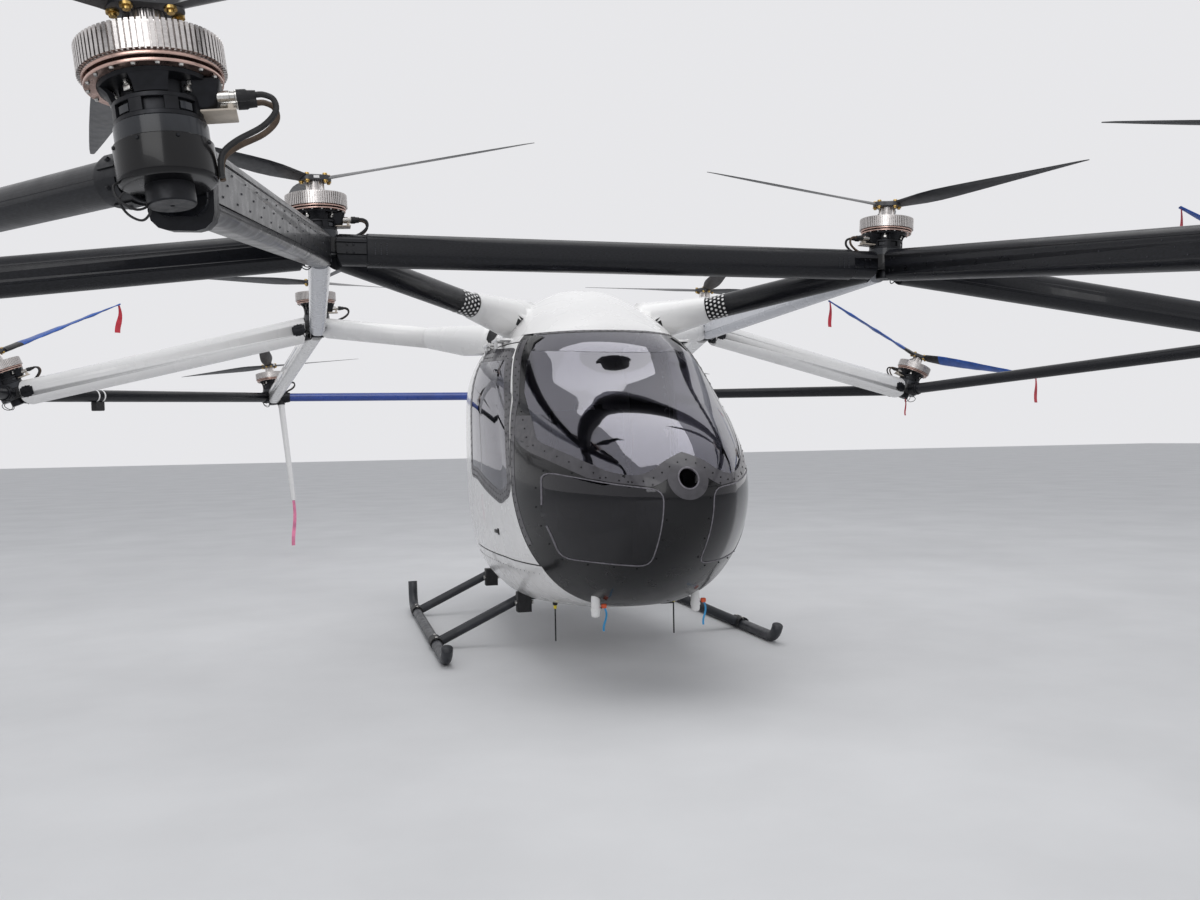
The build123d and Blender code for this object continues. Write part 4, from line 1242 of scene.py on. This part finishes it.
        # The band is as wide as the door's skin allows
        widest, narrower_ones = 0.063, (0.054, 0.045, 0.036, 0.027, 0.018)
        outer = drawn_in(loop, -widest)
        for width in narrower_ones:
            narrower = drawn_in(loop, -width)
            outer = [wide if hit else near for wide, near, hit in zip(outer, narrower, on_skin(door, outer, side))]
        border(band, door, outer, drawn_in(loop, 0.003), side, 0.0015)
        for offset in (-0.047, -0.018):
            screws += found(door, spaced(drawn_in(loop, offset), 0.045), side)
        (spot, facing), = on_skin(door, side_points([(0.360, 0.675)]), side)
        latch = turned_to(facing, spot)
        band.block((0.080, 0.020, 0.010), 1, latch, 0.004)
        band.block((0.030, 0.034, 0.005), 1, latch @ at(0.030, 0, 0))
        band.piece(f"door_border_{side_name}", ["Printed pane border", "Black steel screws"], "cabin_black", body)
        fastened(f"door_screws_{side_name}", screws, 0.0042, 0.0034, 8, "Black steel screws", body)


# Half width and the front edge's distance aft of each seat
SEATS = [(0.0, 0.180), (-0.255, 1.050), (0.255, 1.050)]


class MakeSeats(bpy.types.Operator):
    """The seats, their harness, the floor, the battery block and the instrument panel"""

    bl_idname = "flying_car.make_seats"
    bl_label = "Seats and panel"

    def execute(self, context):
        for node, look, slot in (
            ("seat_frames", "Satin carbon shell", "seat_shell"), ("cabin_floor", "Grey floor laminate", "floor_grey"),
            ("battery", "Grey battery case", "grey_case"), ("instrument_panel", "Black display glass", "panel_black"),
        ):
            refinished(node, look)
        self.cushions()
        belts, width = Shape(), settings("seats").belt_width
        for half, front in SEATS:
            seat = at(half, front - AFT_ORIGIN, 0)
            for side in (-1, 1):
                # Over the shoulder, then across the lap
                for across, route in (
                    ((1, 0, 0), [(0.045, 0.660, 1.352), (0.055, 0.600, 1.352), (0.062, 0.572, 1.300),
                                 (0.070, 0.520, 1.150), (0.080, 0.462, 0.960), (0.060, 0.390, 0.842),
                                 (0.012, 0.330, 0.822)]),
                    ((0, 1, 0.2), [(0.218, 0.400, 0.760), (0.214, 0.395, 0.800), (0.170, 0.370, 0.818),
                                   (0.080, 0.340, 0.821), (0.012, 0.326, 0.823)]),
                ):
                    path = curved([(x * side, y, z) for x, y, z in route])
                    ribbon(belts, path, across, [width] * len(path), 0.002, seat)
            belts.block((0.060, 0.066, 0.016), 1, seat @ at(0, 0.328, 0.829), 0.005)
        belts.piece("seat_belts", ["Black harness webbing", "Zinc-plated steel"], "seat_leather")
        return {"FINISHED"}

    @staticmethod
    def cushions():
        """The six cushions, blown up a little as cloth under pressure, then pressed in along their channels."""
        solid = frame["nodes"]["seat_cushions"].data.copy()
        merged(solid, 2e-5, inset=0.004)
        thing = linked("seat_cushions", solid)
        remesh = thing.modifiers.new("Remesh", "REMESH")
        remesh.mode = "VOXEL"
        remesh.voxel_size = 0.016
        plain(thing)
        farthest = 0.010
        before = [v.co.copy() for v in thing.data.vertices]
        cloth = thing.modifiers.new("Cloth", "CLOTH").settings
        cloth.use_pressure = True
        cloth.uniform_pressure_force = 4.0
        cloth.quality = 4
        cloth.effector_weights.gravity = 0.0
        for step in range(1, 16):
            bpy.context.scene.frame_set(step)
        plain(thing)
        for vertex, start in zip(thing.data.vertices, before):
            move = vertex.co - start
            vertex.co = start + move * min(1.0, farthest / max(move.length, 1e-9))
        bpy.context.scene.frame_set(1)
        smooth = thing.modifiers.new("Subdivision", "SUBSURF")
        smooth.levels = smooth.render_levels = 1
        plain(thing)
        # Sewn channels run across each seat and back at this pitch, and sink into its padding
        pitch, width, depth = 0.09, 0.010, 0.006
        points = [(v.co.copy(), v.normal.copy()) for v in thing.data.vertices]
        for vertex, (spot, normal) in zip(thing.data.vertices, points):
            for half, front in SEATS:
                along = spot.y + AFT_ORIGIN - front
                if abs(spot.x - half) < 0.23 and -0.05 < along < 0.75:
                    run = along if spot.z < 0.83 and along < 0.42 else spot.z
                    off = (run + pitch / 2) % pitch - pitch / 2
                    vertex.co = spot - normal * depth * math.exp(-((off / width) ** 2))
        thing.data.materials.clear()
        thing.data.materials.append(finish("Grey leather"))
        smoothed(thing.data, 60.0)
        kept(thing, replaced=["seat_cushions"])


# The tail rods stand beside their joints, as far inboard as this
ROD_OFFSET = at(0, -0.072, 0)
PROBE_HALF, PROBE_AFT = 0.254, -0.290
LEG_PLACES = (0.730, 1.870)
SKID_HALF = 0.911


class MakeGear(bpy.types.Operator):
    """The skids with their clamps, dampers, probes and antennas"""

    bl_idname = "flying_car.make_gear"
    bl_label = "Skids and fittings"

    def execute(self, context):
        for node, look, slot in (
            ("skid_tubes", "Black powder coat", "gear_black"), ("cross_tubes", "Black powder coat", "gear_black"),
            ("skid_dampers", "Black rubber", "gear_black"), ("antennas", "Black rubber", "black_rubber"),
        ):
            refinished(node, look)
        fittings, probes, rods = Shape(), Shape(), Shape()
        rubber, orange, yellow, steel, white = range(5)
        for side_name, side in SIDES.items():
            tip = at(PROBE_HALF * side, PROBE_AFT - AFT_ORIGIN, 0)
            probes.turn([(0, 0.3005), (0.016, 0.3005), (0.019, 0.303), (0.0215, 0.309), (0.022, 0.318),
                         (0.022, 0.382), (0.020, 0.404), (0, 0.405)], 32, 0, tip)
            probes.turn(hoop(0.0225, 0.0245, 0.330, 0.346), 32, 0, tip, closed=True)
            knob = tip @ at(0.040, -0.004, 0.352)
            fittings.block((0.026, 0.022, 0.022), orange, knob, 0.006)
            fittings.block((0.022, 0.008, 0.008), rubber, knob @ at(-0.018, 0, -0.008))
            antenna = at(0.330 * side, 0.260 - AFT_ORIGIN, 0)
            fittings.turn([(0, 0.2995), (0.014, 0.2995), (0.013, 0.284), (0.0075, 0.278), (0, 0.278)],
                          20, rubber, antenna)
            fittings.turn(rod(0.0085, 0.279, 0.262), 20, yellow, antenna)
            for leg in LEG_PLACES:
                # Pin and washers of a leg's damper, and the clamp that holds the leg on its skid
                beside = leg - AFT_ORIGIN
                fittings.turn([(0, -0.052), (0.012, -0.052), (0.012, -0.044), (0.007, -0.043), (0.007, 0.043),
                               (0.012, 0.044), (0.012, 0.052), (0, 0.052)], 16, steel,
                              at(0.420 * side, beside - 0.072, 0.243) @ spun(90, "Y"))
                fittings.turn(hoop(0.0305, 0.036, -0.060, 0.060), 32, rubber,
                              at(SKID_HALF * side, beside, 0.0365) @ spun(90, "X"), closed=True)
                for along in (-0.045, 0.045):
                    fittings.block((0.014, 0.016, 0.014), steel, at(SKID_HALF * side, beside + along, 0.068), 0.003)
            # White rods beside the feet of the tail joints, each in its black collar
            place = inboard("tail", side_name) @ ROD_OFFSET
            rods.turn([(0, -0.2695), (0.033, -0.2695), (0.033, -0.330), (0.031, -0.36), (0.027, -0.90),
                       (0.0235, -1.300), (0.021, -1.312), (0, -1.314)], 32, 0, place)
            rods.turn(hoop(0.031, 0.0365, -0.276, -0.322), 32, 1, place, closed=True)
        # A sensor box is strapped under the outer tail beam to starboard
        place, reach = beam_place(joint_point("rear_outer", "starboard"), joint_point("tail", "starboard"))
        level = place @ at(0, 0, 0.25 * reach)
        fittings.block((0.055, 0.075, 0.095), rubber, level @ at(0, -0.082, 0), 0.008)
        for along in (-0.032, 0.032):
            fittings.turn(hoop(0.0482, 0.0500, -0.007, 0.007), 32, white, level @ at(0, 0, along), closed=True)
        probes.piece("nose_probes", ["White gelcoat"], "probe_white", replaced=["nose_probes"])
        fittings.piece("gear_fittings", ["Black rubber", "Orange moulded cap", "Yellow heat shrink",
                                         "Zinc-plated steel", "White gelcoat"], "gear_black")
        rods.piece("tail_rods", ["White gelcoat", "Black rubber"], "probe_white", replaced=["tail_rods"])
        return {"FINISHED"}


# Row, side and number of each blade that is parked under a cover
COVERS = [("rear_outer", "port", 0), ("rear_outer", "port", 2), ("rear_outer", "starboard", 2),
          ("front_outer", "port", 2)]


class MakeCovers(bpy.types.Operator):
    """Fabric covers on four parked blades, with the streamers and ribbons that mark what to take off"""

    bl_idname = "flying_car.make_covers"
    bl_label = "Covers and streamers"

    def execute(self, context):
        sizes, allowance = settings("rotors"), settings("covers").allowance
        tip = Vector((0.995 * sizes.radius, 0, BLADE_HEIGHT + 0.94 * sizes.radius * math.tan(sizes.cone)))
        for row, side_name, blade in COVERS:
            place, body = parked(row, side_name) @ spun(120 * blade), f"rotor_{row}_{side_name}"
            thing = self.cover(place, sizes, allowance).piece(
                f"cover_{row}_{side_name}_{blade}", ["Blue coated nylon", "Black harness webbing"], "rotor_black",
                body, smooth=60.0,
            )
            self.streamer(f"streamer_{row}_{side_name}_{blade}", body, place @ tip, 0.225, (0.012, 0.041),
                          "Red coated nylon", "rotor_black")
        under = joint_point("rear_outer", "port") - Vector((0, 0, 0.075))
        self.streamer("streamer_joint", "airframe", under, 0.155, (0.014, 0.019), "Red coated nylon", "joint_black")
        for side_name, side in SIDES.items():
            foot = inboard("tail", side_name) @ ROD_OFFSET @ Vector((0, 0, -1.312))
            knob = Vector((PROBE_HALF * side + 0.044, PROBE_AFT - 0.006 - AFT_ORIGIN, 0.343))
            self.streamer(f"ribbon_rod_{side_name}", "airframe", foot, 0.46, (0.028, 0.036), "Pink satin ribbon",
                          "probe_white")
            self.streamer(f"ribbon_probe_{side_name}", "airframe", knob, 0.110, (0.010, 0.012), "Light blue ribbon",
                          "probe_white")
        return {"FINISHED"}

    @staticmethod
    def cover(place, sizes, allowance):
        """A sleeve with a wall of cloth over a blade, loose enough to wrinkle, with a webbing cuff at the hub."""
        shape, walls = Shape(), []
        parts, sides, cuff_bands, wall = 24, 16, 3, 0.0012
        for inset in (0.0, wall):
            rings = []
            for part in (k / parts for k in range(parts + 1)):
                share = 0.075 + 0.925 * part
                after = next(s for s in BLADE_STATIONS if s[0] >= share - 1e-9)
                before = BLADE_STATIONS[max(BLADE_STATIONS.index(after) - 1, 0)]
                mix = (share - before[0]) / max(after[0] - before[0], 1e-9)
                chord, thick, twist = (before[i] + (after[i] - before[i]) * mix for i in (1, 2, 3))
                half = chord * sizes.widest_chord / 2 + allowance - inset
                wave = 0.0022 * math.sin(19 * part) + 0.0016 * math.sin(43 * part + 1.0)
                rise = thick / 2 + 0.0045 + wave - inset
                loop = [polar(1, 360 * k / sides) for k in range(sides)]
                outline = [(half * p.x, rise * p.y * (1.25 if k > sides / 2 else 1.0)) for k, p in enumerate(loop)]
                rings.append(blade_section(sizes, share, twist, outline, beyond=0.004 if part == 1.0 else 0.0))
            walls.append(rings)
        shape.loft(walls[0] + walls[1][::-1], 0, place, closed=True)
        shape.finishes[:cuff_bands * sides] = [1] * cuff_bands * sides
        return shape

    @staticmethod
    def streamer(name, body, top, drop, widths, look, slot):
        """A strip of ribbon that hangs from its upper end and wavers a little."""
        shape, path, spread = Shape(), [], []
        for part in (k / 14 for k in range(15)):
            waver = (0.010 * math.sin(5.0 * part), 0.012 * math.sin(3.4 * part + 0.4) - 0.0047, -drop * part)
            path.append(top + Vector(waver))
            spread.append(widths[0] + (widths[1] - widths[0]) * min(1.0, 1.6 * part))
        ribbon(shape, path, (1, 0.35, 0), spread, 0.0008)
        thing = shape.piece(name, [look], slot, body, smooth=60.0)


class MakeStage(bpy.types.Operator):
    """The floor, the light and the camera"""

    bl_idname = "flying_car.make_stage"
    bl_label = "Stage"

    def execute(self, context):
        scene = context.scene
        mesh = bpy.data.meshes.new("stage_floor")
        mesh.from_pydata([(-60, -60, 0), (60, -60, 0), (60, 60, 0), (-60, 60, 0)], [], [[0, 1, 2, 3]])
        mesh.materials.append(finish("Floor paint"))
        linked("stage_floor", mesh)
        scene.world = bpy.data.worlds.new("Pale surroundings")
        scene.world.use_nodes = True
        self.surroundings(scene.world.node_tree)
        for name, place, size, power in (
            ("Overhead light", (0.0, -1.0, 7.5), 7.0, 260.0), ("Front light", (-3.5, -8.5, 4.5), 4.0, 110.0),
        ):
            lamp = bpy.data.lights.new(name, "AREA")
            lamp.size = size
            lamp.energy = power
            holder = linked(name, lamp)
            holder.location = place
            holder.rotation_euler = (Vector((0, 0, 1.2)) - Vector(place)).to_track_quat("-Z", "Y").to_euler()
        camera = bpy.data.cameras.new("Camera")
        camera.lens = settings("stage").lens
        camera.sensor_width = 36.0
        camera.clip_end = 200.0
        scene.camera = linked("Camera", camera)
        # Where it stands, then how far it looks to port, down and askew
        stand = at(-1.532, -5.1458 - AFT_ORIGIN, 1.160)
        scene.camera.matrix_world = stand @ spun(-15.14) @ spun(90 - 0.664, "X") @ spun(-1.019)
        scene.view_settings.view_transform = "Standard"
        return {"FINISHED"}

    @staticmethod
    def surroundings(tree):
        # The object is lit at a plain level, and sees the same pale surroundings as the camera in its gloss
        tree.nodes.clear()
        rays = add_node(tree, "ShaderNodeLightPath").outputs
        seen = rays["Is Camera Ray"]
        for ray in ("Is Glossy Ray", "Is Transmission Ray"):
            seen = add_node(tree, "ShaderNodeMath", {"operation": "MAXIMUM"}, {0: seen, 1: rays[ray]}).outputs[0]
        light = add_node(tree, "ShaderNodeBackground", {"Color": (0.86, 0.88, 0.92, 1), "Strength": 0.62})
        shown = add_node(tree, "ShaderNodeBackground", {"Color": (0.80, 0.80, 0.82, 1), "Strength": 1.0})
        mix = add_node(tree, "ShaderNodeMixShader", links={0: seen, 1: light.outputs[0], 2: shown.outputs[0]})
        add_node(tree, "ShaderNodeOutputWorld", links={"Surface": mix.outputs[0]})


SETTINGS = {
    "motors": MotorSettings, "rotors": RotorSettings, "beams": BeamSettings, "cabin": CabinSettings,
    "seats": SeatSettings, "gear": GearSettings, "covers": CoverSettings, "stage": StageSettings,
}
OPERATORS = [MakeStage, MakeMotors, MakeRotors, MakeBeams, MakeCabin, MakeSeats, MakeGear, MakeCovers]


class FlyingCarPanel(bpy.types.Panel):
    """The flying car's pieces, each made by its own button"""

    bl_idname = "VIEW3D_PT_flying_car"
    bl_label = "Flying car"
    bl_space_type = "VIEW_3D"
    bl_region_type = "UI"
    bl_category = "Flying car"

    def draw(self, context):
        for name, group in SETTINGS.items():
            column = self.layout.box().column()
            for field in group.__annotations__:
                column.prop(settings(name), field)
        for operator in OPERATORS:
            self.layout.operator(operator.bl_idname)


def register():
    for kind in [*SETTINGS.values(), *OPERATORS, FlyingCarPanel]:
        bpy.utils.register_class(kind)
    for name, group in SETTINGS.items():
        setattr(bpy.types.Scene, "flying_car_" + name, PointerProperty(type=group))


def unregister():
    for name in SETTINGS:
        delattr(bpy.types.Scene, "flying_car_" + name)
    for kind in [FlyingCarPanel, *reversed(OPERATORS), *reversed(SETTINGS.values())]:
        bpy.utils.unregister_class(kind)


def main():
    register()
    for operator in OPERATORS:
        group, action = operator.bl_idname.split(".")
        getattr(getattr(bpy.ops, group), action)()


if __name__ == "__main__":
    main()
